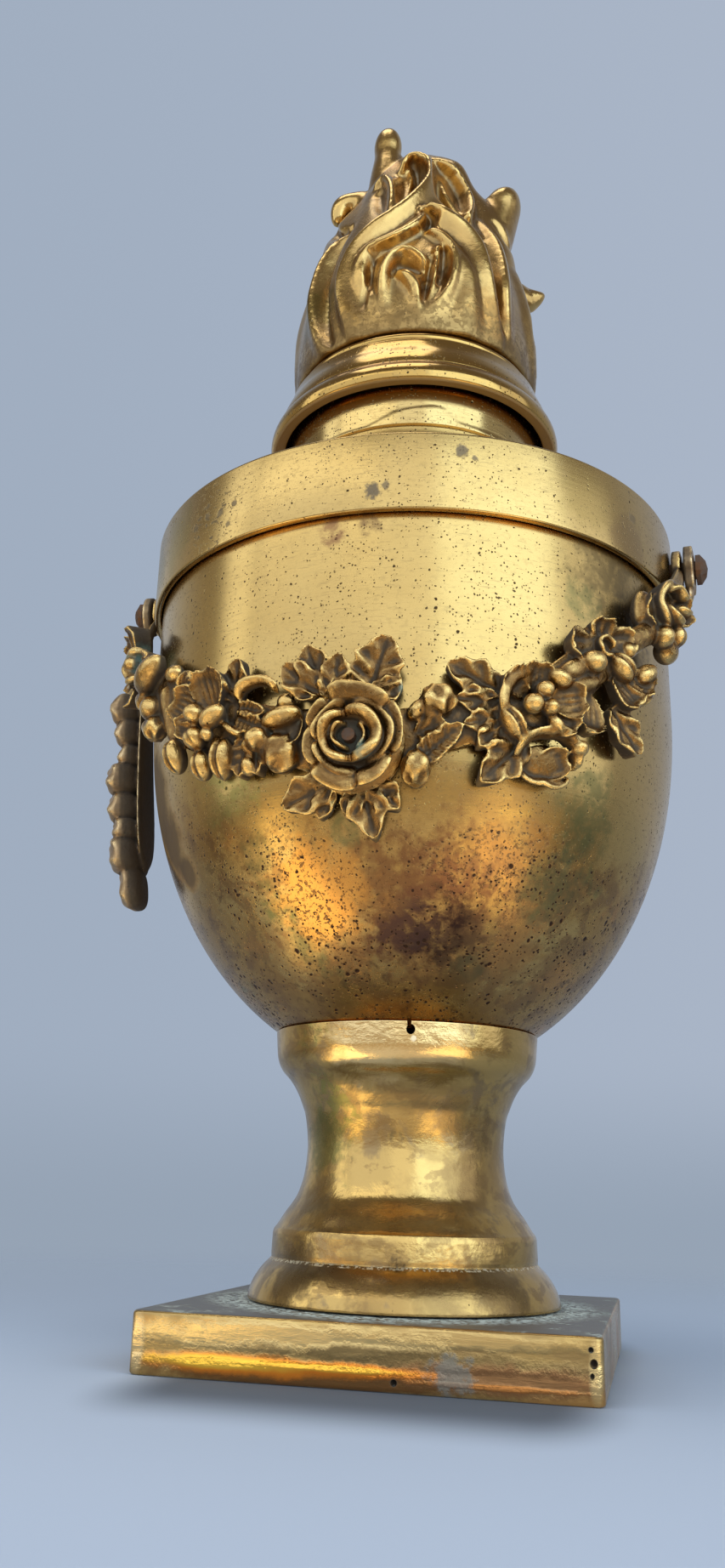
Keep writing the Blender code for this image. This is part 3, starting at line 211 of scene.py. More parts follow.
past = vector(tree, "SUBTRACT", vector(tree, "ABSOLUTE", off), tuple(np.array(SHADE_HALF) * MM))
past = vector(tree, "MULTIPLY", vector(tree, "MAXIMUM", past, (0.0, 0.0, 0.0)), (2.0, 1.0, 0.0))
seen = add(tree, "LightPath").outputs["Is Camera Ray"]
dark = reckon(tree, "MULTIPLY", eased_step(tree, vector(tree, "LENGTH", past), *SHADE_FADE), seen)
shade = reckon(tree, "MULTIPLY_ADD", dark, -SHADE_DEPTH, 1.0)
tone = add(tree, "VectorMath", {"operation": "SCALE"}, {0: tone, "Scale": shade}).outputs[0]
tree.links.new(tone, paint.inputs["Base Color"])
gone = eased_step(tree, vector(tree, "LENGTH", place), *TABLE_FADE)
clear = add(tree, "BsdfTransparent").outputs[0]
faded = add(tree, "MixShader", None, {0: gone, 1: paint.outputs[0], 2: clear})
tree.links.new(faded.outputs[0], tree.nodes["Material Output"].inputs[0])
table_mesh.materials.append(table_paint)


# Plinth
# A square cast brass tray, 80 mm wide and 10 mm thick, open underneath, with soft edges and a few
# pin holes. Its front is polished and stained, with painted highlights and painted orange reflections,
# its top dull grey with pale corrosion round the foot, and the tie rod goes through its middle.
PLINTH_TOP_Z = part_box("plinth")[1].z / MM
PLINTH_HALF = (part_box("plinth")[1].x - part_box("plinth")[0].x) / 2 / MM
TRAY_WALL, TRAY_CEILING, PLINTH_CORNER, PLINTH_EDGE, ROD_HOLE = 3.0, 7.8, 1.3, 0.75, 3.4
SHARP_ANGLE = math.radians(40)


def eased(outline, bite, steps):
    """A closed outline whose every corner is cut back by bite, or by less on a short side, and
    bridged with the curve (1-t)^2 a + 2t(1-t) corner + t^2 b."""
    corner = np.asarray(outline, float)
    before, after = np.roll(corner, 1, 0) - corner, np.roll(corner, -1, 0) - corner
    lengths = np.linalg.norm(before, axis=1)[:, None], np.linalg.norm(after, axis=1)[:, None]
    cut = np.minimum(bite, 0.45 * np.minimum(*lengths))
    a, b = corner + before / lengths[0] * cut, corner + after / lengths[1] * cut
    t = np.linspace(0.0, 1.0, steps + 1)[None, :, None]
    curve = (1 - t) ** 2 * a[:, None] + 2 * t * (1 - t) * corner[:, None] + t ** 2 * b[:, None]
    return curve.reshape(-1, 2)


def dense(outline, step):
    """A closed outline with every longer side cut into equal parts of at most step."""
    corner = np.asarray(outline, float)
    rows = []
    for a, b in zip(corner, np.roll(corner, -1, 0)):
        parts = max(1, int(math.ceil(np.linalg.norm(b - a) / step)))
        rows.append(a + (b - a) * np.linspace(0.0, 1.0, parts, endpoint=False)[:, None])
    return np.vstack(rows)


def skin(grid, ring=True):
    """Points and faces of a grid that closes round its columns. Its last row joins its first, or each
    end row is drawn to its own middle."""
    rows, columns = grid.shape[:2]
    here = np.arange(rows * columns).reshape(rows, columns)
    beside = np.roll(here, -1, 1)
    if ring:
        above, across = np.roll(here, -1, 0), np.roll(beside, -1, 0)
        return grid.reshape(-1, 3), [np.stack((here, beside, across, above), -1).reshape(-1, 4)]
    quads = np.stack((here[:-1], beside[:-1], beside[1:], here[1:]), -1).reshape(-1, 4)
    low = np.full(columns, rows * columns)
    ends = [np.stack((beside[0], here[0], low), -1), np.stack((here[-1], beside[-1], low + 1), -1)]
    return np.vstack((grid.reshape(-1, 3), grid[0].mean(0), grid[-1].mean(0))), [quads] + ends


def shaped(name, skins):
    """One object from closed skins given in millimetres from the foot of the turned axis, each facing
    outwards."""
    points, faces, start = [], [], 0
    for spots, sheets in skins:
        points.append(spots * MM + TURNED_AXIS)
        for sheet in sheets:
            faces += (sheet + start).tolist()
        start += len(spots)
    mesh = bpy.data.meshes.new(name)
    mesh.from_pydata(np.vstack(points).tolist(), [], faces)
    bm = bmesh.new()
    bm.from_mesh(mesh)
    bmesh.ops.recalc_face_normals(bm, faces=bm.faces)
    bm.to_mesh(mesh)
    bm.free()
    mesh.shade_smooth()
    piece = bpy.data.objects.new(name, mesh)
    bpy.context.scene.collection.objects.link(piece)
    return piece


def settled(piece):
    """The piece with its modifiers made part of its mesh."""
    state = bpy.context.evaluated_depsgraph_get()
    mesh = bpy.data.meshes.new_from_object(piece.evaluated_get(state))
    piece.modifiers.clear()
    piece.data = mesh
    mesh.shade_smooth()
    return piece


def bore(piece, cutters):
    """Take the cutters' skins out of the piece and keep its edges sharp."""
    for cutter in cutters:
        tool = shaped("cutter", [cutter])
        drill = piece.modifiers.new("drill", "BOOLEAN")
        drill.object, drill.solver = tool, "EXACT"
        settled(piece)
        bpy.data.objects.remove(tool, do_unlink=True)
    piece.data.set_sharp_from_angle(angle=SHARP_ANGLE)


def effect(name, sockets, build):
    """A node group with named number or vector inputs and one varying output, Mask."""
    group = bpy.data.node_groups.new(name, "ShaderNodeTree")
    for key, value in sockets.items():
        kind = "NodeSocketVector" if isinstance(value, tuple) else "NodeSocketFloat"
        group.interface.new_socket(key, in_out="INPUT", socket_type=kind).default_value = value
    group.interface.new_socket("Mask", in_out="OUTPUT", socket_type="NodeSocketFloat")
    given, out = group.nodes.new("NodeGroupInput"), group.nodes.new("NodeGroupOutput")
    group.links.new(build(group, given.outputs), out.inputs["Mask"])


def noise(tree, place, scale, detail, rough=0.5, bend=0.0):
    """A Noise Texture node."""
    values = {"Vector": place, "Scale": scale, "Detail": detail, "Roughness": rough, "Distortion": bend}
    return add(tree, "TexNoise", None, values)


def fill_blotches(tree, given):
    """Cloudy noise on the piece's own coordinates, stretched and shifted, cut between Low and High."""
    drawn = vector(tree, "MULTIPLY_ADD", own_place(tree), given["Stretch"], given["Shift"])
    cloud = noise(tree, drawn, given["Scale"], 7.0, 0.62, 0.35)
    return eased_step(tree, cloud.outputs[0], given["Low"], given["High"])


def fill_pits(tree, given):
    """Small round specks: a cell's speck is as big as its own random number allows."""
    place = own_place(tree)
    wander = noise(tree, place, given["Scale"], 2.0).outputs[1]
    wandering = vector(tree, "MULTIPLY_ADD", wander, (0.0006, 0.0006, 0.0006), place)
    cell = add(tree, "TexVoronoi", None, {"Vector": wandering, "Scale": given["Scale"]})
    luck = add(tree, "SeparateColor", None, {0: cell.outputs["Color"]}).outputs[0]
    patch = noise(tree, place, given["Patch"], 3.0).outputs[0]
    chance = reckon(tree, "ADD", luck, reckon(tree, "MULTIPLY_ADD", patch, 0.6, -0.3))
    size = reckon(tree, "MULTIPLY", reckon(tree, "SUBTRACT", chance, given["Rarity"]), 0.9)
    inside = reckon(tree, "SUBTRACT", size, cell.outputs["Distance"])
    return add(tree, "Math", {"operation": "MULTIPLY", "use_clamp": True}, {0: inside, 1: 9.0}).outputs[0]


def outwards(tree):
    """The level direction from the turned axis to the point."""
    off = vector(tree, "SUBTRACT", own_place(tree), tuple(TURNED_AXIS))
    return vector(tree, "NORMALIZE", vector(tree, "MULTIPLY", off, (1.0, 1.0, 0.0)))


def fill_lathe_lines(tree, given):
    """Fine level lines left by the lathe: noise that changes fast in height and slowly round the axis."""
    high = reckon(tree, "MULTIPLY", part(tree, own_place(tree), 2), given["Pitch"])
    lifted = add(tree, "CombineXYZ", None, {2: high}).outputs[0]
    drawn = vector(tree, "MULTIPLY_ADD", outwards(tree), (3.0, 3.0, 3.0), lifted)
    return noise(tree, drawn, 1.0, 4.0, 0.6).outputs[0]


def fill_spot(tree, given):
    """A ragged patch round one place: stretched distance from it, bent by noise, cut at Reach."""
    place = own_place(tree)
    cloud = noise(tree, place, given["Grain"], 6.0, 0.65).outputs[0]
    off = vector(tree, "MULTIPLY", vector(tree, "SUBTRACT", place, given["Place"]), given["Stretch"])
    ratio = reckon(tree, "DIVIDE", vector(tree, "LENGTH", off), given["Reach"])
    middle = reckon(tree, "MULTIPLY", given["Ragged"], -0.5)
    bend = reckon(tree, "MULTIPLY_ADD", cloud, given["Ragged"], middle)
    return eased_step(tree, reckon(tree, "ADD", ratio, bend), 1.0, 0.45)


EVEN, NOWHERE = (1.0, 1.0, 1.0), (0.0, 0.0, 0.0)
effect("blotches", {"Scale": 60.0, "Low": 0.45, "High": 0.6, "Stretch": EVEN, "Shift": NOWHERE},
       fill_blotches)
effect("pits", {"Scale": 600.0, "Patch": 40.0, "Rarity": 0.8}, fill_pits)
effect("lathe_lines", {"Pitch": 1500.0}, fill_lathe_lines)
effect("spot", {"Place": NOWHERE, "Stretch": EVEN, "Reach": 0.01, "Ragged": 1.2, "Grain": 300.0}, fill_spot)


class Metal:
    """A metal built up in layers. Each layer mixes a colour, roughness, metalness or height in
    millimetres over what lies under it, by a mask."""

    def __init__(self, name, colour, rough):
        self.material = bpy.data.materials.new(name)
        self.material.use_nodes = True
        self.tree = self.material.node_tree
        self.look = {"Base Color": (*colour, 1.0), "Roughness": rough, "Metallic": 1.0, "Height": 0.0}

    def mask(self, kind, strength=1.0, **values):
        """An effect's mask, made weaker where strength is below 1."""
        node = self.tree.nodes.new("ShaderNodeGroup")
        node.node_tree = bpy.data.node_groups[kind]
        for key, value in values.items():
            node.inputs[key].default_value = value
        out = node.outputs["Mask"]
        return out if strength == 1.0 else reckon(self.tree, "MULTIPLY", out, strength)

    def near(self, azimuth, radius, height, reach, strength, ragged=1.2, grain=300.0):
        """A ragged patch at degrees round from the front, millimetres from the axis and up."""
        angle = math.radians(azimuth)
        place = np.array((math.sin(angle) * radius, -math.cos(angle) * radius, height)) * MM + TURNED_AXIS
        return self.mask("spot", strength, Place=tuple(place), Reach=reach * MM, Ragged=ragged, Grain=grain)

    def daub(self, rows, rough, ragged, grain, within=None):
        """A ragged patch for each row of degrees, distance, height, reach, strength and colour."""
        for azimuth, radius, height, reach, strength, colour in rows:
            patch = self.near(azimuth, radius, height, reach, strength, ragged, grain)
            self.lay(patch, colour, rough, within=within)

    def lay(self, mask, colour=None, rough=None, metal=None, height=None, strength=1.0, within=None,
            **values):
        """Mix the given values over the look by a mask, or by a named effect with its values, within a
        second mask where one is given. A height is added to what is there."""
        if isinstance(mask, str):
            mask = self.mask(mask, strength, **values)
        if within is not None:
            mask = reckon(self.tree, "MULTIPLY", mask, within)
        colour = None if colour is None else (*colour, 1.0)
        over = {"Base Color": colour, "Roughness": rough, "Metallic": metal}
        for key, value in over.items():
            if value is None:
                continue
            kind, a, b, out = ("RGBA", 6, 7, 2) if key == "Base Color" else ("FLOAT", 2, 3, 0)
            mix = add(self.tree, "Mix", {"data_type": kind}, {0: mask, a: self.look[key], b: value})
            self.look[key] = mix.outputs[out]
        if height is not None:
            self.look["Height"] = reckon(self.tree, "MULTIPLY_ADD", mask, height, self.look["Height"])

    def cover(self, *pieces):
        """Join the layers to the shader and give the metal to the pieces."""
        shader = self.tree.nodes["Principled BSDF"]
        for key in ("Base Color", "Roughness", "Metallic"):
            if isinstance(self.look[key], bpy.types.NodeSocket):
                self.tree.links.new(self.look[key], shader.inputs[key])
            else:
                shader.inputs[key].default_value = self.look[key]
        bump = add(self.tree, "Bump", None, {"Strength": 1.0, "Distance": MM, "Height": self.look["Height"]})
        self.tree.links.new(bump.outputs[0], shader.inputs["Normal"])
        for piece in pieces:
            piece.data.materials.clear()
            piece.data.materials.append(self.material)


def square_path(half, corner, steps=64, bend=8):
    """Points round a square with round corners, so many to a side and to a corner."""
    t = np.linspace(-1.0, 1.0, steps, endpoint=False) * (half - corner)
    arc = np.radians(np.linspace(0.0, 90.0, bend, endpoint=False))
    side = np.stack((t, 0 * t - half), 1)
    turn = np.stack((half - corner + corner * np.sin(arc), corner - half - corner * np.cos(arc)), 1)
    quarter = np.vstack((side, turn))
    turns = [((1, 0), (0, 1)), ((0, 1), (-1, 0)), ((-1, 0), (0, -1)), ((0, -1), (1, 0))]
    return np.vstack([quarter @ np.array(t) for t in turns])


def plinth_grid():
    """The tray's outline carried round the square: up the side, in over the top, down the rod's hole,
    out under the ceiling and down the inner wall. Near the hole the path goes over from square to round."""
    half, wall, top = PLINTH_HALF, TRAY_WALL, PLINTH_TOP_Z
    outline = [(0.0, 0.0), (0.0, top), (half - ROD_HOLE, top), (half - ROD_HOLE, TRAY_CEILING),
               (wall, TRAY_CEILING), (wall, 0.0)]
    flat = dense(eased(outline, PLINTH_EDGE, 6), 1.1)
    inward, height = flat[:, 0], flat[:, 1]
    square = square_path(half, PLINTH_CORNER)
    way = np.arctan2(square[:, 1], square[:, 0])
    round_path = np.stack((np.cos(way), np.sin(way)), 1)
    share = np.clip((inward - 20.0) / (half - ROD_HOLE - 22.0), 0.0, 1.0)[:, None, None]
    squares = square[None] * ((half - inward) / half)[:, None, None]
    rounds = round_path[None] * (half - inward)[:, None, None]
    level = squares * (1 - share) + rounds * share
    return np.concatenate((level, np.repeat(height[:, None], len(square), 1)[..., None]), -1)


def ball(centre, radius, stretch):
    """A round skin: circles of radius sin p at height -cos p, scaled and set at a centre."""
    p = np.linspace(0.12, math.pi - 0.12, 10)[:, None]
    q = np.linspace(0.0, 2 * math.pi, 16, endpoint=False)[None, :]
    grid = np.stack((np.sin(p) * np.cos(q), np.sin(p) * np.sin(q), -np.cos(p) + 0 * q), -1)
    return skin(grid * radius * np.array(stretch) + np.array(centre), ring=False)


cast_plinth = shaped("cast_plinth", [skin(plinth_grid())])
# Pin holes: centre, radius, stretch
PIN_HOLES = (((6.4, -40.0, 1.6), 0.55, (1, 2.4, 1)), ((38.0, -40.0, 8.3), 0.42, (1, 2, 1)),
             ((38.4, -40.0, 6.3), 0.62, (1, 2, 1.2)), ((38.1, -40.0, 4.5), 0.32, (1, 2, 1.5)),
             ((40.0, -21.0, 5.8), 0.5, (1.6, 1, 1)))
bore(cast_plinth, [ball(*hole) for hole in PIN_HOLES])
plinth_brass = Metal("plinth_brass", (0.56, 0.35, 0.115), 0.24)
plinth_brass.lay("blotches", (0.33, 0.20, 0.075), 0.34, Scale=38.0, Low=0.42, High=0.62,
                 Stretch=(0.5, 1, 2.4))
plinth_brass.lay("blotches", (0.52, 0.22, 0.06), 0.33, strength=0.55, Scale=70.0, Low=0.5, High=0.62,
                 Stretch=(0.3, 1, 2.0), Shift=(3, 0, 0))
plinth_brass.lay("blotches", height=0.08, Scale=55.0, Low=0.3, High=0.7, Stretch=(0.35, 1, 2.0),
                 Shift=(0, 7, 0))
plinth_brass.lay("pits", (0.07, 0.045, 0.02), 0.6, height=-0.06, Scale=700.0, Rarity=0.86, Patch=50.0)
# Streaks on the front: the bright and orange ones are painted highlights and reflections, the dark ones
# stains. Columns: x, height, half length and half height in millimetres, raggedness, strength, look
PLINTH_STAINS_AND_SHEEN = ((-14, 7.2, 34, 3.4, 1.0, 0.9, (0.78, 0.53, 0.21), 0.17),
                  (16, 8.6, 26, 1.8, 1.0, 0.7, (0.70, 0.46, 0.17), 0.2),
                  (8, 5.2, 40, 2.1, 1.3, 0.85, (0.23, 0.145, 0.055), 0.3),
                  (-6, 1.4, 44, 2.6, 0.8, 0.95, (0.17, 0.075, 0.026), 0.3),
                  (24, 3.0, 24, 3.0, 1.2, 0.9, (0.31, 0.14, 0.055), 0.3),
                  (-19, 2.8, 26, 2.2, 0.8, 1.0, (0.85, 0.26, 0.03), 0.16),
                  (-2, 3.0, 20, 1.3, 0.9, 1.0, (0.80, 0.24, 0.03), 0.17),
                  (-23, 2.9, 20, 1.35, 0.7, 1.0, (1.0, 0.54, 0.06), 0.12),
                  (-6, 3.1, 18, 0.75, 0.8, 1.0, (1.0, 0.50, 0.055), 0.12),
                  (22, 1.9, 17, 0.6, 1.3, 0.8, (0.55, 0.20, 0.045), 0.25),
                  (-38.6, 5, 1.8, 6, 0.6, 0.8, (0.85, 0.58, 0.26), 0.15),
                  (38.8, 5, 1.5, 6, 0.6, 0.7, (0.80, 0.54, 0.22), 0.17))
for x, z, long, tall, ragged, strength, colour, rough in PLINTH_STAINS_AND_SHEEN:
    place = TURNED_AXIS + np.array((x, -PLINTH_HALF, z)) * MM
    plinth_brass.lay("spot", colour, rough, height=0.12, strength=strength, Place=tuple(place),
                     Stretch=(tall / long, 0.25, 1.0), Reach=tall * MM, Ragged=ragged, Grain=230.0)
scuffed = plinth_brass.near(21.4, 43.0, 3.0, 4.2, 0.8, 2.6, 500.0)
plinth_brass.lay(scuffed, (0.21, 0.18, 0.135), 0.5, 0.75, 0.05)
# Painted shade inside the first four pin holes
for (x, y, z), reach, _ in PIN_HOLES[:4]:
    place = TURNED_AXIS + np.array((x, y + 0.5, z)) * MM
    plinth_brass.lay("spot", (0.035, 0.022, 0.012), 0.9, 0.1, Place=tuple(place), Stretch=(1, 0.3, 1),
                     Reach=(reach + 0.25) * MM, Ragged=0.15, Grain=300.0)
tree = plinth_brass.tree
on_top = eased_step(tree, part(tree, add(tree, "NewGeometry").outputs["Normal"], 2), 0.75, 0.97)
plinth_brass.lay(on_top, (0.225, 0.195, 0.16), 0.5, 0.75)
# Pale grit lies thick in a ring round the foot and drifts thinly elsewhere
DUST_RING = (0.041, 0.0325)
level = vector(tree, "MULTIPLY", own_place(tree), (1.0, 1.0, 0.0))
level = vector(tree, "DISTANCE", level, tuple(TURNED_AXIS))
dusty = reckon(tree, "MULTIPLY", eased_step(tree, level, *DUST_RING), on_top)
grit = plinth_brass.mask("blotches", Scale=1000.0, Low=0.43, High=0.52)
plinth_brass.lay(dusty, (0.66, 0.70, 0.62), 0.9, 0.0, 0.35, within=grit)
drift = plinth_brass.mask("blotches", 0.85, Scale=110.0, Low=0.52, High=0.64)
plinth_brass.lay(reckon(tree, "MULTIPLY", on_top, drift), (0.46, 0.48, 0.42), 0.9, 0.0, 0.12, within=grit)
plinth_brass.cover(cast_plinth)
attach(cast_plinth, "urn")
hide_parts("plinth")


# Foot
# A turned brass shell, 61 mm across the skirt: skirt, upright ledge, cove to the waist and a bell
# under the bowl. It is polished and held by the tie rod, and the front of the bell's rim has a small
# broken hole in the shape of a keyhole.
FOOT_WALL = 1.8
FOOT_OUTER = (
    (30.4, 10.65), (30.35, 11.4), (29.85, 13.2), (28.9, 15.0), (27.7, 16.6), (26.35, 17.9), (26.1, 18.3),
    (26.15, 18.9), (26.1, 20.4), (26.0, 22.8), (25.75, 23.5), (25.1, 24.3), (23.76, 26.4), (22.56, 28.0),
    (21.52, 29.6), (20.88, 31.2), (20.4, 32.8), (20.08, 34.4), (19.84, 36.4), (19.72, 38.8), (19.8, 41.0),
    (20.08, 43.4), (20.5, 45.6), (21.12, 47.2), (21.76, 48.8), (22.6, 50.4), (23.72, 52.0), (25.15, 53.5),
    (26.0, 54.9), (26.45, 56.4), (26.66, 58.2), (26.8, 60.0), (26.92, 61.45))


def through(rows, count):
    """Rows resampled on a smooth curve through them: the cubic whose slope at each row is half the step
    from the row before it to the row after it."""
    rows = np.asarray(rows, float)
    ends = np.vstack((2 * rows[0] - rows[1], rows, 2 * rows[-1] - rows[-2]))
    along = np.linspace(0.0, len(rows) - 1.000001, count)
    k = along.astype(int)
    t = (along - k)[:, None]
    a, b, c, d = ends[k], ends[k + 1], ends[k + 2], ends[k + 3]
    return 0.5 * (2 * b + (c - a) * t + (2 * a - 5 * b + 4 * c - d) * t ** 2
                  + (3 * b - a - 3 * c + d) * t ** 3)


def spun(outline, steps=224):
    """A closed outline of (radius, height) spun round the axis: x = r sin a, y = -r cos a."""
    turn = np.linspace(0.0, 2 * math.pi, steps, endpoint=False)[None, :]
    radius, height = np.asarray(outline, float).T[:, :, None]
    return np.stack((radius * np.sin(turn), -radius * np.cos(turn), height + 0 * turn), -1)


skirt, ledge, bell = FOOT_OUTER[:7], FOOT_OUTER[7:10], FOOT_OUTER[10:]
foot_outer = np.vstack((through(skirt, 22), through(ledge, 8), through(bell, 90)))
foot_inner = foot_outer[::2][::-1] - (FOOT_WALL, 0.0)
turned_foot = shaped("turned_foot", [skin(spun(eased(np.vstack((foot_outer, foot_inner)), 0.25, 2)))])
KEYHOLE_AZIMUTH, KEYHOLE_Z, KEYHOLE_REACH = 12.8, 59.9, (22.0, 32.0)


def bearing(azimuth):
    """Level unit vectors outwards and to the right, at degrees round from the front."""
    across, ahead = math.sin(math.radians(azimuth)), math.cos(math.radians(azimuth))
    return np.array((across, -ahead, 0.0)), np.array((ahead, across, 0.0))


def keyhole_rod(azimuth, height, across, tall, sides=16):
    """A rod through the foot's wall along a radius, an ellipse in section."""
    t = np.linspace(0.0, 2 * math.pi, sides, endpoint=False)
    out, beside = bearing(azimuth)
    ring = beside * (across * np.cos(t))[:, None] + np.array((0, 0, 1.0)) * (tall * np.sin(t))[:, None]
    return skin(np.stack([ring + out * reach + (0, 0, height) for reach in KEYHOLE_REACH]), ring=False)


bore(turned_foot, [keyhole_rod(KEYHOLE_AZIMUTH, KEYHOLE_Z, 0.85, 0.95),
                   keyhole_rod(KEYHOLE_AZIMUTH - 0.6, KEYHOLE_Z + 1.6, 0.42, 1.6)])
foot_brass = Metal("foot_brass", (0.55, 0.34, 0.11), 0.16)
foot_brass.lay("blotches", (0.40, 0.24, 0.08), 0.24, Scale=45.0, Low=0.45, High=0.6, Stretch=(1, 1, 1.6))
foot_brass.lay("blotches", (0.26, 0.17, 0.09), 0.3, strength=0.7, Scale=90.0, Low=0.53, High=0.62,
               Shift=(4, 2, 0))
foot_brass.lay("pits", (0.05, 0.035, 0.02), 0.5, height=-0.05, Scale=800.0, Rarity=0.88, Patch=60.0)
foot_brass.lay("lathe_lines", height=0.02, Pitch=900.0)
foot_brass.lay("blotches", (0.31, 0.18, 0.065), 0.28, strength=0.7, Scale=170.0, Low=0.53, High=0.6,
               Stretch=(1, 1, 1.4))
# Frayed stains, then dark patches: degrees round, distance, height, reach, strength, colour
FOOT_STAINS = (
    (-32.4, 20.6, 46.4, 8.0, 0.7, (0.26, 0.23, 0.06)), (-33.0, 26.8, 59.6, 6.0, 0.5, (0.26, 0.23, 0.07)),
    (-40.0, 20.0, 38.0, 9.0, 0.6, (0.22, 0.17, 0.055)), (54.1, 20.3, 42.4, 7.0, 0.7, (0.20, 0.12, 0.05)),
    (9.5, 26.0, 19.4, 2.4, 0.9, (0.07, 0.045, 0.025)), (-36.0, 28.4, 15.0, 8.0, 0.8, (0.20, 0.12, 0.05)),
    (-5.0, 29.0, 14.0, 5.0, 0.6, (0.26, 0.15, 0.06)), (46.0, 28.4, 15.4, 9.0, 0.7, (0.24, 0.14, 0.055)),
    (6.0, 19.8, 40.6, 2.0, 0.7, (0.14, 0.09, 0.04)), (-14.0, 25.0, 24.0, 6.0, 0.7, (0.25, 0.14, 0.055)),
    (28.0, 25.6, 23.4, 7.0, 0.7, (0.24, 0.135, 0.05)), (170.0, 21.0, 44.0, 10.0, 0.7, (0.22, 0.19, 0.06)))
FOOT_DARKS = (
    (-34.0, 28.0, 15.5, 8.0, 0.9, (0.19, 0.115, 0.045)), (-10.0, 27.5, 16.5, 5.0, 0.8, (0.26, 0.15, 0.055)),
    (24.0, 29.0, 14.0, 6.0, 0.7, (0.24, 0.14, 0.05)), (48.0, 28.0, 15.0, 8.0, 0.85, (0.20, 0.12, 0.045)),
    (-40.0, 22.0, 30.0, 6.0, 0.8, (0.22, 0.13, 0.045)), (38.0, 20.0, 45.0, 5.0, 0.7, (0.25, 0.145, 0.05)),
    (-42.0, 20.0, 40.0, 7.0, 0.8, (0.21, 0.17, 0.055)), (44.0, 21.0, 33.0, 7.0, 0.7, (0.26, 0.15, 0.055)))
frayed = foot_brass.mask("blotches", Scale=420.0, Low=0.40, High=0.62)
foot_brass.daub(FOOT_STAINS, 0.3, 2.4, 240.0, within=frayed)
# Painted highlights on the front of the bell's rim and on the keyhole's lip: degrees round, distance,
# height, reach, raggedness, colour, roughness
for azimuth, radius, height, reach, ragged, colour, rough in (
        (-4.0, 26.8, 58.4, 11.0, 0.9, (0.84, 0.58, 0.26), 0.15),
        (22.0, 26.8, 58.4, 8.0, 0.9, (0.76, 0.50, 0.21), 0.17),
        (KEYHOLE_AZIMUTH + 1.2, 26.9, 58.2, 0.8, 0.5, (0.90, 0.74, 0.48), 0.4)):
    foot_brass.lay(foot_brass.near(azimuth, radius, height, reach, 0.9, ragged, 260.0), colour, rough)
foot_brass.daub(FOOT_DARKS, 0.28, 1.5, 240.0)
# A dotted line of painted highlight lies in the angle between skirt and ledge
SEAM_Z, SEAM_FADE = 18.0, (0.38, 0.12)
tree = foot_brass.tree
off = reckon(tree, "SUBTRACT", part(tree, own_place(tree), 2), SEAM_Z * MM)
seam = eased_step(tree, reckon(tree, "ABSOLUTE", off), SEAM_FADE[0] * MM, SEAM_FADE[1] * MM)
foot_brass.lay("blotches", (0.90, 0.76, 0.52), 0.45, height=0.1, strength=0.75, within=seam, Scale=1500.0,
               Low=0.5, High=0.55)
foot_brass.lay("blotches", height=0.11, Scale=90.0, Low=0.2, High=0.8)
foot_brass.cover(turned_foot)
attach(turned_foot, "urn")
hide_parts("foot")


# Tie rod, washers and nuts
# Plain steel, out of sight inside the plinth, foot and bowl: a rod through all three, drawn up by a nut
# at each end. The same steel serves the side screws' nuts and the lid's stud.
dull_steel = Metal("dull_steel", (0.34, 0.32, 0.29), 0.45)
dull_steel.lay("blotches", (0.20, 0.17, 0.14), 0.6, Scale=160.0, Low=0.45, High=0.6)
dull_steel.lay("pits", (0.12, 0.06, 0.03), 0.8, 0.4, -0.03, Scale=1200.0, Rarity=0.8, Patch=90.0)
dull_steel.cover(*[frame["nodes"][name] for name in (
    "tie_rod", "base_washer", "base_nut", "bowl_washer", "bowl_nut", "left_washer", "left_nut",
    "right_washer", "right_nut", "flame_stud", "flame_washer", "flame_nut")])


# Bowl
# A spun brass shell, egg-shaped below and straight above, 114 mm across, held by the tie rod. Satin
# gold above with fine pits and level brushing; its lower half is stained red-brown, purple and green,
# the stains also painted dark as shade, and it carries a painted orange reflection and the painted
# shadow of the left drop.
BOWL_LOW, BOWL_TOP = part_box("bowl")[0].z / MM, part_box("bowl")[1].z / MM
BOWL_R, BOWL_DEPTH, BOWL_POWER, BOWL_WALL = 56.8, 75.2, 2.1, 1.5


def egg(reach, depth, low, steps):
    """Radius R sqrt(1 - s^p) at height D (1 - s), for s from 1 to 0, evened out along the wall."""
    c = np.linspace(0.0, math.pi / 2, steps)
    return np.stack((reach * np.sin(c), low + depth * (1 - np.cos(c) ** (2 / BOWL_POWER))), 1)


bowl_bottom = BOWL_LOW - 0.12
outer = egg(BOWL_R, BOWL_DEPTH, bowl_bottom, 90)
inner = egg(BOWL_R - BOWL_WALL, BOWL_DEPTH - BOWL_WALL, bowl_bottom + BOWL_WALL, 50)
outer = np.vstack((outer[outer[:, 0] > ROD_HOLE + 0.3], ((BOWL_R, BOWL_TOP - 18), (BOWL_R, BOWL_TOP))))
inner = np.vstack((inner[inner[:, 0] > ROD_HOLE + 0.3], ((BOWL_R - BOWL_WALL, BOWL_TOP),)))
spun_bowl = shaped("spun_bowl", [skin(spun(eased(np.vstack((outer, inner[::-1])), 0.3, 2), 256))])


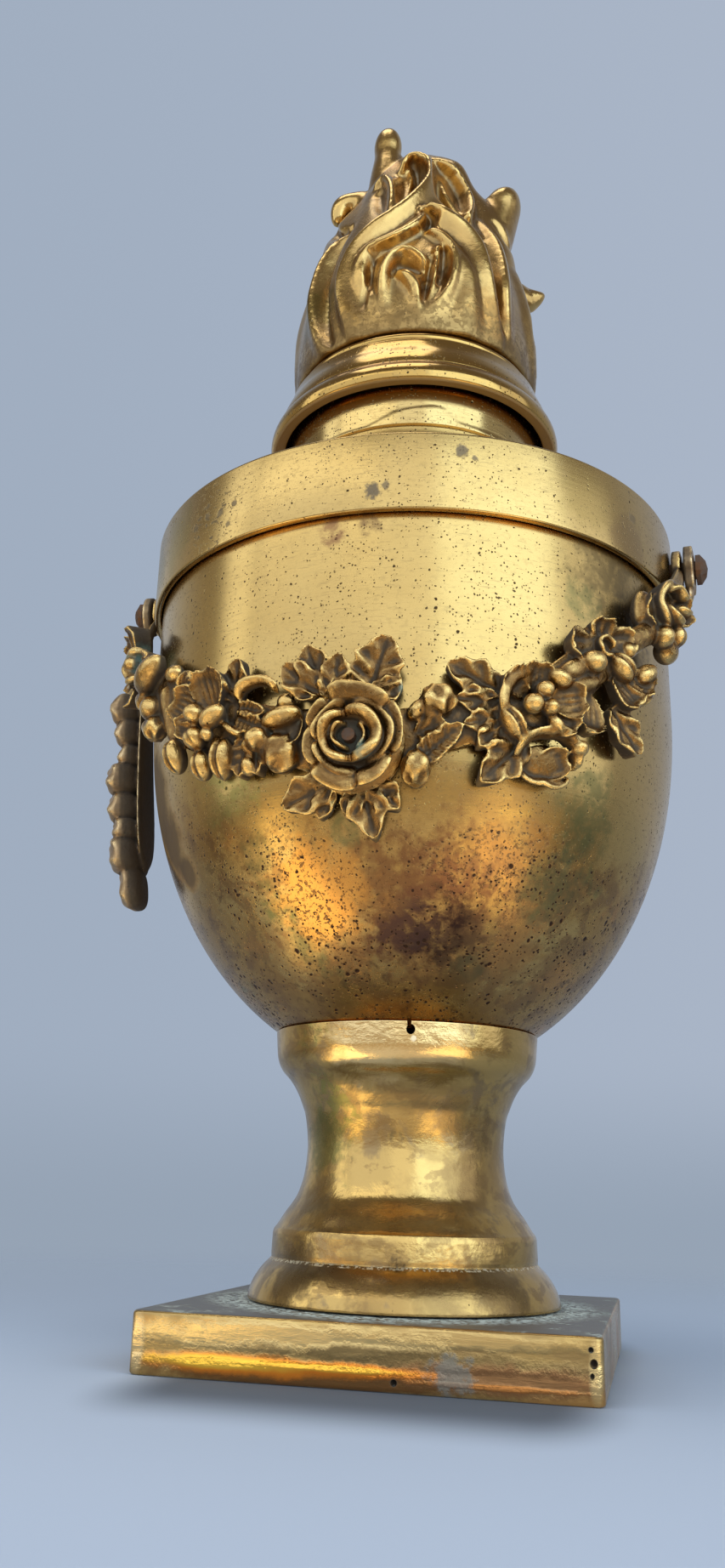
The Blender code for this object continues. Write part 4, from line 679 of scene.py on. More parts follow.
def spun_brass_metal(name, light=(0.56, 0.355, 0.12), rough=0.22):
    """Satin spun brass: soft tarnish clouds, level lathe lines, small dark pits."""
    metal = Metal(name, light, rough)
    metal.lay("blotches", (0.48, 0.29, 0.09), rough + 0.04, strength=0.5, Scale=30.0, Low=0.4, High=0.65,
              Stretch=(1, 1, 1.4))
    metal.lay("blotches", (0.34, 0.215, 0.08), rough + 0.08, strength=0.5, Scale=330.0, Low=0.55, High=0.66,
              Stretch=(1, 1, 8), Shift=(1, 5, 0))
    metal.lay("blotches", (0.38, 0.24, 0.085), rough + 0.05, strength=0.4, Scale=900.0, Low=0.52, High=0.66)
    metal.lay("lathe_lines", (0.42, 0.27, 0.10), strength=0.25, Pitch=1400.0)
    metal.lay("lathe_lines", height=0.012, Pitch=1400.0)
    metal.lay("pits", (0.06, 0.035, 0.015), 0.55, height=-0.05, Scale=800.0, Rarity=0.70, Patch=50.0)
    metal.lay("pits", (0.10, 0.06, 0.025), 0.5, height=-0.03, Scale=1900.0, Rarity=0.55, Patch=70.0)
    return metal


bowl_brass = spun_brass_metal("bowl_brass")
# Below a wavering height the bowl takes stains that are also painted shade
STAIN_AND_SHADE_EDGE, STAIN_AND_SHADE_WAVER = (0.112, 0.096), 0.02
tree = bowl_brass.tree
cloud = bowl_brass.mask("blotches", Scale=45.0, Low=0.3, High=0.7)
ragged = reckon(tree, "MULTIPLY_ADD", cloud, STAIN_AND_SHADE_WAVER, part(tree, own_place(tree), 2))
low_half = eased_step(tree, ragged, *STAIN_AND_SHADE_EDGE)
# Stain colours over the lower half, dark enough to serve as painted shade too
for scale, low, shift, colour, strength in (
        (36.0, 0.38, 9.0, (0.42, 0.235, 0.07), 1.0), (150.0, 0.48, 2.0, (0.28, 0.15, 0.055), 0.8),
        (90.0, 0.55, 5.0, (0.50, 0.24, 0.07), 0.6), (420.0, 0.55, 7.0, (0.16, 0.085, 0.035), 0.6),
        (60.0, 0.60, 11.0, (0.20, 0.18, 0.065), 0.7)):
    bowl_brass.lay("blotches", colour, 0.27, strength=strength, within=low_half, Scale=scale, Low=low,
                   High=low + 0.1, Shift=(shift, 0, 0))
# Stains: degrees round, distance, height, reach, strength, colour
BOWL_STAINS = (
    (15.0, 44.2, 80.4, 18, 0.95, (0.18, 0.075, 0.035)), (20.5, 41.0, 75.6, 9, 1.0, (0.04, 0.02, 0.015)),
    (11.0, 41.6, 76.5, 7.8, 0.8, (0.10, 0.05, 0.035)), (3.6, 46.6, 84.4, 9.6, 0.7, (0.27, 0.13, 0.045)),
    (31.6, 51.4, 95.2, 14.4, 0.4, (0.30, 0.16, 0.07)), (-25.0, 35.0, 68.8, 14.4, 0.5, (0.25, 0.13, 0.05)),
    (40.0, 36.0, 70.0, 16.8, 0.5, (0.28, 0.15, 0.06)), (-20.5, 44.7, 81.3, 6.6, 0.75, (0.13, 0.15, 0.055)),
    (-24.0, 49.0, 90.0, 5.4, 0.6, (0.14, 0.12, 0.05)), (-16.0, 40.0, 74.5, 6, 0.6, (0.15, 0.15, 0.06)),
    (45.2, 47.0, 85.1, 8.4, 0.7, (0.15, 0.13, 0.055)), (48.0, 50.0, 93.0, 6, 0.6, (0.12, 0.13, 0.06)),
    (-27.0, 54.2, 104.0, 10.8, 0.5, (0.25, 0.24, 0.07)), (28.0, 36.0, 70.5, 4.2, 0.6, (0.15, 0.12, 0.05)),
    (150.0, 46.0, 84.0, 16.8, 0.7, (0.22, 0.11, 0.05)), (220.0, 44.0, 80.0, 12, 0.7, (0.15, 0.15, 0.06)),
    (110.0, 40.0, 74.0, 14.4, 0.6, (0.26, 0.14, 0.06)), (54.0, 56.8, 145.0, 13.2, 0.8, (0.19, 0.12, 0.045)),
    (46.0, 56.8, 138.0, 6, 0.6, (0.20, 0.17, 0.06)), (60.0, 56.8, 136.0, 9.6, 0.7, (0.16, 0.10, 0.04)),
    (50.0, 53.0, 98.0, 9.6, 0.7, (0.17, 0.15, 0.055)), (-2.0, 50.5, 92.0, 3.84, 0.7, (0.15, 0.15, 0.06)),
    (-4.0, 56.8, 149.0, 3.6, 0.8, (0.22, 0.10, 0.05)), (3.0, 56.8, 149.4, 2.88, 0.8, (0.20, 0.11, 0.05)))
broken = bowl_brass.mask("blotches", Scale=330.0, Low=0.30, High=0.58)
bowl_brass.daub(BOWL_STAINS, 0.34, 1.9, 260.0, within=broken)
# Painted orange reflection low on the front left of the bowl
bowl_brass.lay(bowl_brass.near(-9.0, 45.0, 82.0, 12.0, 0.8, 1.8, 200.0), (0.66, 0.30, 0.065), 0.24)
specks = bowl_brass.mask("blotches", 0.8, Scale=1300.0, Low=0.55, High=0.62)
for spread in (bowl_brass.near(-4.0, 47.0, 84.0, 21.0, 1.0, 1.8, 150.0),
               bowl_brass.near(34.0, 48.0, 90.0, 17.0, 0.8, 1.8, 150.0),
               bowl_brass.mask("blotches", 0.5, Scale=60.0)):
    speckled = reckon(tree, "MULTIPLY", spread, low_half)
    bowl_brass.lay(speckled, (0.15, 0.07, 0.03), 0.4, height=-0.03, within=specks)
# Painted shadow of the left drop on the bowl
for azimuth, radius, height, reach in ((-64.0, 54.5, 108.0, 15.0), (-57.0, 52.0, 97.0, 9.0),
                                       (-51.5, 50.0, 90.0, 5.0)):
    painted_drop_shadow = bowl_brass.near(azimuth, radius, height, reach, 0.92, 0.7, 150.0)
    bowl_brass.lay(painted_drop_shadow, (0.075, 0.045, 0.02), 0.75, 0.25)
for scale, rarity in ((520.0, 0.66), (850.0, 0.58), (1500.0, 0.48)):
    bowl_brass.lay("pits", (0.05, 0.025, 0.015), 0.5, height=-0.04, within=low_half, Scale=scale,
                   Rarity=rarity, Patch=60.0)
bowl_brass.cover(spun_bowl)
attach(spun_bowl, "urn")
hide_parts("bowl")


# Collar band
# A plain brass band, 117 mm across and 16.5 mm high, held round the bowl's rim by the side screws,
# with soft edges, a few brown spots and worn marks.
BAND_LOW, BAND_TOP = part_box("collar_band")[0].z / MM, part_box("collar_band")[1].z / MM
BAND_R, BAND_INNER = 58.64, 57.1
band_outline = eased(((BAND_INNER, BAND_LOW), (BAND_R, BAND_LOW), (BAND_R, BAND_TOP - 9), (BAND_R, BAND_TOP),
                      (BAND_INNER, BAND_TOP)), 0.55, 4)
collar = shaped("collar", [skin(spun(band_outline, 256))])
collar_brass = spun_brass_metal("collar_brass", (0.58, 0.37, 0.13), 0.22)
# Spots: degrees round, height, reach, strength
COLLAR_SPOTS = (
    (3.7, 155.3, 1.9, 1.0), (6.0, 156.5, 1.0, 0.8), (20.3, 164.2, 1.6, 0.9), (22.5, 162.8, 0.9, 0.8),
    (-34.0, 159.8, 1.0, 0.8), (-30.0, 158.9, 1.1, 0.8), (-26.0, 159.5, 0.9, 0.8), (-38.0, 158.6, 1.0, 0.8),
    (-27.5, 155.6, 0.8, 0.7), (60.0, 161.0, 1.5, 0.7), (140.0, 158.0, 2.0, 0.8), (200.0, 162.0, 2.4, 0.8))
for azimuth, height, reach, strength in COLLAR_SPOTS:
    brown = collar_brass.near(azimuth, BAND_R, height, reach, strength, 2.2, 700.0)
    collar_brass.lay(brown, (0.19, 0.135, 0.08), 0.5, height=-0.03)
# Tarnished sides: degrees round, distance, height, reach, strength, colour
COLLAR_STAINS = (
    (-46.0, BAND_R, 160.0, 8.0, 0.8, (0.42, 0.28, 0.075)),
    (-60.0, BAND_R, 158.0, 9.0, 0.8, (0.33, 0.23, 0.08)),
    (47.0, BAND_R, 160.0, 9.0, 0.8, (0.44, 0.28, 0.09)),
    (58.0, BAND_R, 155.0, 7.0, 0.8, (0.38, 0.23, 0.09)))
collar_brass.daub(COLLAR_STAINS, 0.26, 1.6, 150.0)
worn = collar_brass.near(-33.0, BAND_R, 158.5, 10.0, 0.9, 1.0, 150.0)
collar_brass.lay("blotches", (0.17, 0.115, 0.06), 0.5, height=-0.02, within=worn, Scale=700.0, Low=0.56,
                 High=0.61, Stretch=(1, 1, 1.6))
collar_brass.lay("blotches", (0.30, 0.19, 0.075), 0.4, strength=0.7, Scale=1100.0, Low=0.60, High=0.66,
                 Stretch=(1, 1, 2.2))
collar_brass.cover(collar)
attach(collar, "urn")
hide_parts("collar_band")


# Shoulder
# The cover's hollow brass rise from the band to the neck, spun in one sweep, with its rim on the
# bowl's. The camera stands below it and doesn't see it.
SHOULDER_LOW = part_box("shoulder")[0].z / MM
SHOULDER_WALL, SHOULDER_RISE, SHOULDER_START, NECK_R = 1.5, 21.0, 54.5, 29.9
sweep = np.linspace(0.0, math.pi / 2, 40)
shoulder_top = SHOULDER_LOW + SHOULDER_WALL + SHOULDER_RISE
outer = np.stack((SHOULDER_START - (SHOULDER_START - NECK_R) * np.sin(sweep),
                  shoulder_top - SHOULDER_RISE * np.cos(sweep)), 1)
inner = np.stack((SHOULDER_START - (SHOULDER_START - NECK_R + SHOULDER_WALL) * np.sin(sweep),
                  shoulder_top - (SHOULDER_RISE + SHOULDER_WALL) * np.cos(sweep)), 1)
rim_points = ((BOWL_R, SHOULDER_LOW), (BOWL_R, SHOULDER_LOW + SHOULDER_WALL))
shoulder_outline = eased(np.vstack((rim_points, outer, inner[::-1])), 0.35, 2)
spun_shoulder = shaped("spun_shoulder", [skin(spun(shoulder_outline))])
shoulder_brass = spun_brass_metal("shoulder_brass", (0.55, 0.34, 0.11), 0.24)
shoulder_brass.cover(spun_shoulder)
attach(spun_shoulder, "urn")
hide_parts("shoulder")


# Neck ring
# A plain tube under the lid, 60 mm across, soldered on the shoulder. A puddle of solder shows as a wavy
# line across its front.
NECK_SOCKET, NECK_BORE, SOCKET_R, SOCKET_BORE = 5.0, 28.4, 28.1, 26.6
NECK_LOW, NECK_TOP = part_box("neck_ring")[0].z / MM + NECK_SOCKET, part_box("neck_ring")[1].z / MM
neck_levels = np.linspace(NECK_LOW, NECK_TOP - 0.3, 60)
neck_outline = np.vstack((
    np.stack((0 * neck_levels + NECK_R, neck_levels), 1),
    ((NECK_R - 0.3, NECK_TOP), (NECK_BORE, NECK_TOP), (NECK_BORE, NECK_LOW + 3.0),
     (SOCKET_BORE, NECK_LOW + 1.5), (SOCKET_BORE, NECK_LOW - NECK_SOCKET),
     (SOCKET_R, NECK_LOW - NECK_SOCKET), (SOCKET_R, NECK_LOW))))
neck_grid = spun(neck_outline)
# The solder's edge: degrees round from the front, millimetres above the neck's foot
SOLDER_STEP, SOLDER_SWELL = 0.9, 0.07
SOLDER_EDGE = ((-180, 0.6), (-90, 0.8), (-40, 0.5), (-20, 0.3), (-9, 0.4), (-4.5, 1.4), (3, 3.2), (10, 4.0),
               (20, 4.7), (24, 4.2), (26, 3.0), (30, 1.2), (50, 0.6), (110, 1.2), (150, 0.5), (180, 0.6))
turn_degrees = np.degrees(np.arctan2(neck_grid[..., 0], -neck_grid[..., 1]))
edge = NECK_LOW + np.interp(turn_degrees, *np.array(SOLDER_EDGE, float).T)
puddle = np.clip((edge - neck_grid[..., 2]) / SOLDER_STEP + 0.5, 0.0, 1.0)
outside = np.arange(len(neck_outline))[:, None] < len(neck_levels)
swell = 1.0 + SOLDER_SWELL / NECK_R * puddle * puddle * (3 - 2 * puddle) * outside
neck_grid[..., :2] *= swell[..., None]
neck_tube = shaped("neck_tube", [skin(neck_grid)])
neck_brass = spun_brass_metal("neck_brass", (0.60, 0.40, 0.15), 0.17)
neck_brass.cover(neck_tube)
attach(neck_tube, "urn")
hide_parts("neck_ring")


# Flower swag
# One garland of cast bronze, hung between the side screws: a stem with lobed and veined leaves,
# ribbed petals, pods and balls. Dark, with a grey-green bloom in its hollows and bright worn edges; its
# hollows and the faces turned to the bowl are painted dark as shade.
SCREW_Z, SCREW_AZIMUTH = BAND_TOP - 8.25, 84.0
SWAG_SINK, SWAG_CLEAR, SWAG_SEAT = 54.0, 1.0, BAND_R + 0.3
EYE_THICK, DROP_LENGTH = 2.2, 72.0


def swag_back(height):
    """Radius of the swag's back: the band's at the screws, near the bowl's wall below it."""
    share = np.clip((height - (BAND_LOW - 2.0) + SWAG_SINK / 2) / (SWAG_SINK / 2), 0.0, 1.0)
    left = np.clip(1.0 - (height - bowl_bottom) / BOWL_DEPTH, 0.0, 1.0)
    near = BOWL_R * np.sqrt(1.0 - left ** BOWL_POWER) + SWAG_CLEAR
    return near + (SWAG_SEAT - near) * share * share * (3 - 2 * share)


def bent(skins, lean=None):
    """Flat forms of degrees, millimetres above the screws and relief, bent round the bowl, or hung down
    clear of it where they lean."""
    made = []
    for points, sheets in skins:
        angle, height = np.radians(points[:, 0]), SCREW_Z + points[:, 1]
        back = swag_back(height) if lean is None else SWAG_SEAT - lean * (points[:, 1] / DROP_LENGTH) ** 2
        reach = back + np.maximum(points[:, 2], 0.0)
        made.append((np.stack((np.sin(angle) * reach, -np.cos(angle) * reach, height), 1), sheets))
    return made


def relief(root, tip, wide, top, under):
    """A form from root to tip: across = s * wide(t), face = top(t, s), back = under(t). The face has 15
    columns and the back 5."""
    t = np.linspace(0.0, 1.0, 30)[:, None]
    s = np.linspace(-1.0, 1.0, 15)[None, :]
    ahead = np.array(tip, float) - root
    beside = np.array((-ahead[1], ahead[0])) / np.linalg.norm(ahead)
    face = np.concatenate((s, np.linspace(1.0, -1.0, 7)[None, 1:-1]), 1)
    width = wide(t)
    spread_x = root[0] + ahead[0] * t + beside[0] * width * face
    spread_y = root[1] + ahead[1] * t + beside[1] * width * face
    lift = np.concatenate((top(t, s), under(t) + 0 * face[:, 15:]), 1)
    return skin(np.stack((spread_x, spread_y, lift), -1), ring=False)


def leaf(x, y, tip_x, tip_y, width, low, high, lobes, veins=1.0):
    """A thick pointed leaf: lobed edge, sunk midrib, sunk side veins slanting forward, rounded rim."""
    def wide(t):
        lobed = 1 + 0.11 * np.cos(2 * math.pi * (1.5 * lobes * t - 0.3)) * np.sin(math.pi * t).clip(0) ** 0.5
        return width * 0.54 * np.sin(math.pi * (0.08 + 0.90 * t) ** 0.9).clip(0.03) ** 0.75 * lobed

    def top(t, s):
        away = np.abs(s)
        rib = -0.75 * np.exp(-(s / 0.12) ** 2) * (1 - t ** 3)
        side = np.cos(2 * math.pi * (1.5 * lobes * veins * t - 0.9 * away - 0.3)) * np.clip(away * 3, 0, 1)
        rim = 0.5 * np.exp(-((away - 0.85) / 0.16) ** 2)
        level = low + (high - low) * t + 0.5 + rib
        return level + 0.34 * side * (1 - t ** 4) + 0.7 * rim + 0.08 * width * (away - 0.4)

    return relief((x, y), (tip_x, tip_y), wide, top, lambda t: 0.2 + 0.1 * low * t)


def petal(x, y, tip_x, tip_y, width, low, high, ribs):
    """A round-ended petal: dished, ribbed from its root, with a rolled lip."""
    def wide(t):
        return width * 0.53 * np.sin(math.pi * (0.08 + 0.90 * t) ** 1.5).clip(0.02) ** 0.5

    def top(t, s):
        ribbed = 0.3 * np.cos(math.pi * ribs * s) * np.sin(math.pi * t).clip(0) ** 0.5
        dish = 0.17 * width * (s ** 2 - 0.5)
        lip = 0.8 * np.exp(-((t - 0.92) / 0.10) ** 2)
        return low + (high - low) * t ** 0.8 + ribbed + dish + lip + 0.3

    return relief((x, y), (tip_x, tip_y), wide, top, lambda t: 0.2 + 0.2 * high * t)


def pod(x, y, across, along, rise, height, crease=0.0, turn=0.0, lumps=0.0):
    """A ball or egg: circles scaled and turned by degrees, with a crease sunk along it, or with lumps
    cos 3p cos 5q added to its radius."""
    p = np.linspace(0.12, math.pi - 0.12, 20)[:, None]
    q = np.linspace(0.0, 2 * math.pi, 32, endpoint=False)[None, :]
    flat_x, flat_y, out = np.sin(p) * np.cos(q), -np.cos(p) + 0 * q, np.sin(p) * np.sin(q)
    swell = 1.0 + lumps * np.cos(3 * p + 0.6) * np.cos(5 * q + 1.1 * p)
    flat_x, flat_y, out = flat_x * swell, flat_y * swell, out * swell
    out = out - crease * np.exp(-(flat_x / 0.16) ** 2) * (out > 0)
    a = math.radians(turn)
    x_mm, y_mm = across * flat_x, along * flat_y
    turned_x = x + x_mm * math.cos(a) - y_mm * math.sin(a)
    turned_y = y + x_mm * math.sin(a) + y_mm * math.cos(a)
    return skin(np.stack((turned_x, turned_y, rise + height * out), -1), ring=False)


def rolled_wall(x, y, start, turn, reach, foot, top, thick, lean, lip=0.35):
    """An upright petal wall bent round a centre: its section is a blade from foot to top that leans
    outwards by lean * k^2 and thickens to a lip. Reach is given at even steps from start to end, and
    both it and the height waver a little."""
    t = np.linspace(0.0, 1.0, max(16, int(abs(turn) / 5)))
    angle = np.radians(start + turn * t)[:, None]
    tall = (1.0 - np.abs(2 * t - 1) ** 5).clip(0.0) ** 0.5
    tall = (0.30 + 0.70 * tall)[:, None]
    radius = np.interp(t, np.linspace(0.0, 1.0, len(reach)), reach)[:, None]
    radius = radius * (1 + 0.035 * np.sin(3 * angle + start))
    tall = tall * (1 + 0.07 * np.sin(4 * angle + 2 * start))
    phi = np.linspace(0.0, 2 * math.pi, 20, endpoint=False)[None, :]
    k = (1 - np.cos(phi)) / 2
    half = thick / 2 * (0.75 + lip * 2 * k ** 3) * (0.5 + 0.5 * tall)
    out = radius + lean * k ** 2 * tall + np.sin(phi) * half
    lift = foot + (top - foot) * k * tall
    grid = np.stack((x + out * np.cos(angle), y + out * np.sin(angle), lift + 0 * angle), -1)
    return skin(grid, ring=False)


def tapered(count, power):
    """Shares of the full width along a form that is drawn in at both ends: sqrt(1 - |t|^power)."""
    t = np.linspace(-1.0, 1.0, count)
    return np.sqrt(np.clip(1.0 - np.abs(t) ** power, 0.0, 1.0)) * 0.97 + 0.03


def stem(rows, count):
    """A round stem through rows of x, y, relief, half width and half depth, drawn to a tip at both ends."""
    path = through(rows, count)
    ahead = np.gradient(path[:, :2], axis=0)
    ahead /= np.linalg.norm(ahead, axis=1)[:, None]
    beside = np.stack((-ahead[:, 1], ahead[:, 0]), 1)
    ends = tapered(count, 6)
    phi = np.linspace(0.0, 2 * math.pi, 16, endpoint=False)[None, :, None]
    flat = path[:, None, :2] + beside[:, None] * np.cos(phi) * (path[:, 3] * ends)[:, None, None]
    lift = path[:, None, 2:3] + np.sin(phi) * (path[:, 4] * ends)[:, None, None]
    return skin(np.concatenate((flat, lift), -1), ring=False)


def eye(azimuth, start, end, rim=4.6, hole=2.1, scallops=0):
    """A ring round a side screw between two distances from the axis, its rim scalloped where asked."""
    turn = np.linspace(0.0, 2 * math.pi, 72, endpoint=False)[:, None]
    edge = rim + (0.45 * np.cos(scallops * turn) if scallops else 0 * turn)
    soft = 0.4
    shape = np.array(((0, 0), (0, 1), (0.5, 1), (1, 1), (1, 0), (0.5, 0)), float)
    reach = hole + (edge - hole) * shape[None, :, 0].reshape(1, -1)
    depth = start + (end - start) * shape[None, :, 1].reshape(1, -1) + 0 * turn
    inward, upper = shape[None, :, 0], np.sign(shape[None, :, 1] - 0.5)
    depth = depth - soft * (inward - 0.5) * upper * (inward > 0.6)
    out, beside = bearing(azimuth)
    grid = (out * depth[..., None] + beside * (reach * np.cos(turn))[..., None]
            + np.array((0, 0, 1.0)) * (reach * np.sin(turn))[..., None] + (0, 0, SCREW_Z))
    return skin(np.swapaxes(grid, 0, 1))


def melted(name, skins, grain, ease):
    """Overlapping skins run together at a fine grain and smoothed, as one casting."""
    piece = shaped(name, skins)
    melt = piece.modifiers.new("melt", "REMESH")
    melt.mode, melt.voxel_size = "VOXEL", grain * MM
    soften = piece.modifiers.new("soften", "SMOOTH")
    soften.factor, soften.iterations = 0.5, ease
    return settled(piece)


def note_hollows(piece, reach, rounds):
    """Store how far each point lies under (towards 1) or over (towards 0) its smoothed surroundings:
    0.5 + (mean of neighbours, taken so many rounds, less the point) along the normal / reach."""
    mesh = piece.data
    count = len(mesh.vertices)
    points, normals = np.empty(count * 3), np.empty(count * 3)
    edges = np.empty(len(mesh.edges) * 2, int)
    mesh.vertices.foreach_get("co", points)
    mesh.vertices.foreach_get("normal", normals)
    mesh.edges.foreach_get("vertices", edges)
    points, normals, edges = points.reshape(-1, 3), normals.reshape(-1, 3), edges.reshape(-1, 2)
    ends = np.concatenate((edges[:, 0], edges[:, 1]))
    others = np.concatenate((edges[:, 1], edges[:, 0]))
    share = 1.0 / np.maximum(np.bincount(ends, minlength=count), 1)
    soft = points.copy()
    for _ in range(rounds):
        soft = np.stack([np.bincount(ends, soft[others, k], count) * share for k in range(3)], 1)
    depth = ((soft - points) * normals).sum(1) / (reach * MM)
    kept = mesh.attributes.new("hollow", "FLOAT", "POINT")
    kept.data.foreach_set("value", np.clip(0.5 + 0.5 * depth, 0.0, 1.0).astype(np.float32))


# Stem: degrees, millimetres above the screws, relief, half width, half depth
SWAG_STEM = (
    (-84, 0, 1.1, 2.4, 1.1), (-79, -6, 1.6, 2, 1.2), (-72, -15, 2, 2.2, 1.4), (-62, -24, 2, 3.4, 1.4),
    (-48, -34, 1.6, 4.6, 1.3), (-32, -45, 1.3, 6, 1.2), (-16, -50, 1.1, 5.0, 1.0), (0, -54, 1.2, 6, 1.1),
    (12, -52, 1.1, 4.6, 1.0), (25, -48.5, 1.1, 4.6, 1.0), (34, -46, 1.4, 5.4, 1.1),
    (44, -36.5, 1.5, 4.4, 1.2), (51, -31, 1.8, 3.4, 1.5), (57, -26.8, 2.6, 2.3, 1.9),
    (62, -22.5, 2.4, 2.8, 1.8), (68, -13.6, 2.2, 2.0, 1.7), (73, -8.8, 2.3, 1.8, 1.7),
    (78, -4, 1.9, 1.8, 1.4), (84, 0, 1.1, 2.4, 1.1))
# Branch stems: rows as above
SWAG_BRANCHES = (
    ((-42.4, -35, 2.4, 1.7, 1.6), (-41, -42, 2.2, 1.5, 1.3), (-39.2, -48, 2.0, 1.6, 1.3)),
    ((37, -40.4, 2.8, 1.4, 1.2), (40.4, -38, 3.0, 1.9, 1.4), (44, -35.6, 2.8, 1.4, 1.2)),
    ((38.4, -42.6, 2.4, 1.2, 1.2), (42, -40.6, 2.6, 1.7, 1.4), (46, -38.6, 2.4, 1.2, 1.2)),
    ((60.9, -16.6, 5.4, 0.7, 1.3), (63.2, -15.2, 6.4, 0.8, 1.6), (65.4, -16.3, 6.6, 0.8, 1.6),
     (67.4, -15.2, 6.2, 0.8, 1.6)),
    ((60.4, -19.2, 5.2, 0.7, 1.3), (62.8, -21.2, 6.2, 0.8, 1.6), (65.6, -22, 6.2, 0.8, 1.6)),
    ((64.4, -18.6, 6.0, 0.7, 1.4), (66.2, -19, 6.6, 0.8, 1.5), (68.6, -18.6, 6.2, 0.7, 1.5)),
    ((-24, -47.6, 3.2, 0.7, 1.0), (-22, -49.4, 3.6, 0.7, 1.0), (-20.2, -50.6, 3.2, 0.6, 1.0)))
# Leaves: root and tip (degrees, millimetres above the screws), width, relief at root and tip, lobes, veins
SWAG_LEAVES = (
    (-4.4, -45, -6.8, -35.8, 6.4, 1.8, 2.8, 1.2), (-5, -45, -11.3, -39.2, 6.2, 1.8, 3.0, 1.2),
    (-3, -46, -0.8, -38.0, 5.4, 1.8, 2.8, 1.2, 2), (3.6, -46, 7.4, -35.2, 8.8, 1.6, 3.0, 2.4),
    (4.4, -46, 9.8, -44.2, 5.0, 1.6, 2.6, 1.2), (-3, -60.4, -12.7, -64.4, 6.6, 1.8, 2.8, 1.4),
    (-3.4, -61, -6.0, -66.6, 4.4, 1.6, 2.2, 1.2), (2.2, -60, 4.8, -70.4, 7.2, 1.8, 3.0, 1.6),
    (4, -61, 9.4, -65.4, 5.6, 1.8, 2.8, 1.4), (2, -61, -0.4, -67, 4.6, 1.6, 2.4, 1.2),
    (12.4, -57.4, 19.9, -51.0, 4.6, 2.0, 3.0, 1.0, 5), (12.2, -52.6, 17, -50.6, 3.6, 1.8, 3.0, 1.2),
    (26.6, -44.2, 17.2, -40.2, 6.6, 1.6, 2.8, 1.8), (26.0, -46, 18.8, -46.4, 5.0, 1.6, 2.6, 1.4),
    (27, -49, 20.2, -50.8, 4.2, 1.6, 2.6, 1.4), (26.8, -50, 23.0, -54.6, 4.2, 1.6, 2.8, 1.2),
    (31.6, -52.4, 23.6, -60.6, 7.0, 1.6, 3.2, 1.8), (50.2, -42.6, 56.6, -50.6, 6.6, 1.4, 3.2, 1.6),
    (-37.4, -36.2, -31.2, -39.2, 4.6, 2.0, 3.2, 1.2), (-22.4, -43.4, -20.6, -35.8, 5.4, 1.5, 2.8, 1.6),
    (-21.6, -46.8, -14.4, -50.8, 3.8, 2.0, 3.2, 1.0, 5), (-21, -45.0, -14.8, -47.2, 3.2, 2.0, 3.0, 1.0, 4),
    (-19.4, -50, -21.6, -58.0, 4.6, 1.6, 3.0, 1.6, 2), (-17.6, -52, -17.6, -58.0, 3.8, 1.6, 2.8, 1.4, 2))
# Petals: the same, with the number of ribs
SWAG_PETALS = ((-8.6, -47.4, -11.4, -53.8, 5, 2.0, 3.4, 2), (-26, -45, -26.6, -37.2, 7.6, 3.0, 5.4, 6),
               (-29.4, -44.4, -35.8, -40.4, 7.6, 2.6, 4.6, 7), (-30, -46, -35.4, -46.4, 5.2, 2.4, 4.4, 5),
               (31, -44.8, 27.2, -41.2, 5.8, 2.4, 4.6, 6), (32.6, -44, 32.6, -38.8, 5.6, 2.4, 4.6, 6),
               (35.2, -45.2, 41.5, -44.2, 7.0, 2.4, 5.0, 8), (35.4, -47.4, 40.4, -49.8, 5.2, 2.2, 4.4, 5),
               (33.2, -57.4, 40.4, -54.6, 6.0, 1.2, 2.4, 7), (44.6, -41.6, 43.8, -49.4, 6.6, 1.6, 3.4, 6),
               (46.6, -31, 46.2, -26.8, 5.8, 2.0, 4.0, 3), (45, -32, 39.4, -33.8, 7.2, 2.0, 3.6, 3),
               (48, -31, 53.2, -29.2, 5.8, 2.2, 4.2, 3), (49.8, -37.0, 54.8, -42.0, 6.0, 2.2, 4.2, 6),
               (51, -36.2, 58.4, -37.4, 5.2, 2.4, 4.6, 5), (64.6, -19, 69.2, -17.4, 6.4, 4.0, 6.4, 7),
               (62.6, -20.6, 57.0, -21.6, 7.6, 2.0, 4.0, 0), (-53, -31.2, -45.6, -27.4, 5, 2.4, 5.2, 4),
               (-61, -22, -58.6, -15.4, 6.4, 2.6, 5.2, 5), (-64, -21, -67, -15.2, 6, 2.6, 5, 5),
               (-65, -24, -71, -23, 6, 2.6, 5, 5), (-64, -26, -66.4, -31, 5.6, 2.6, 4.8, 5))
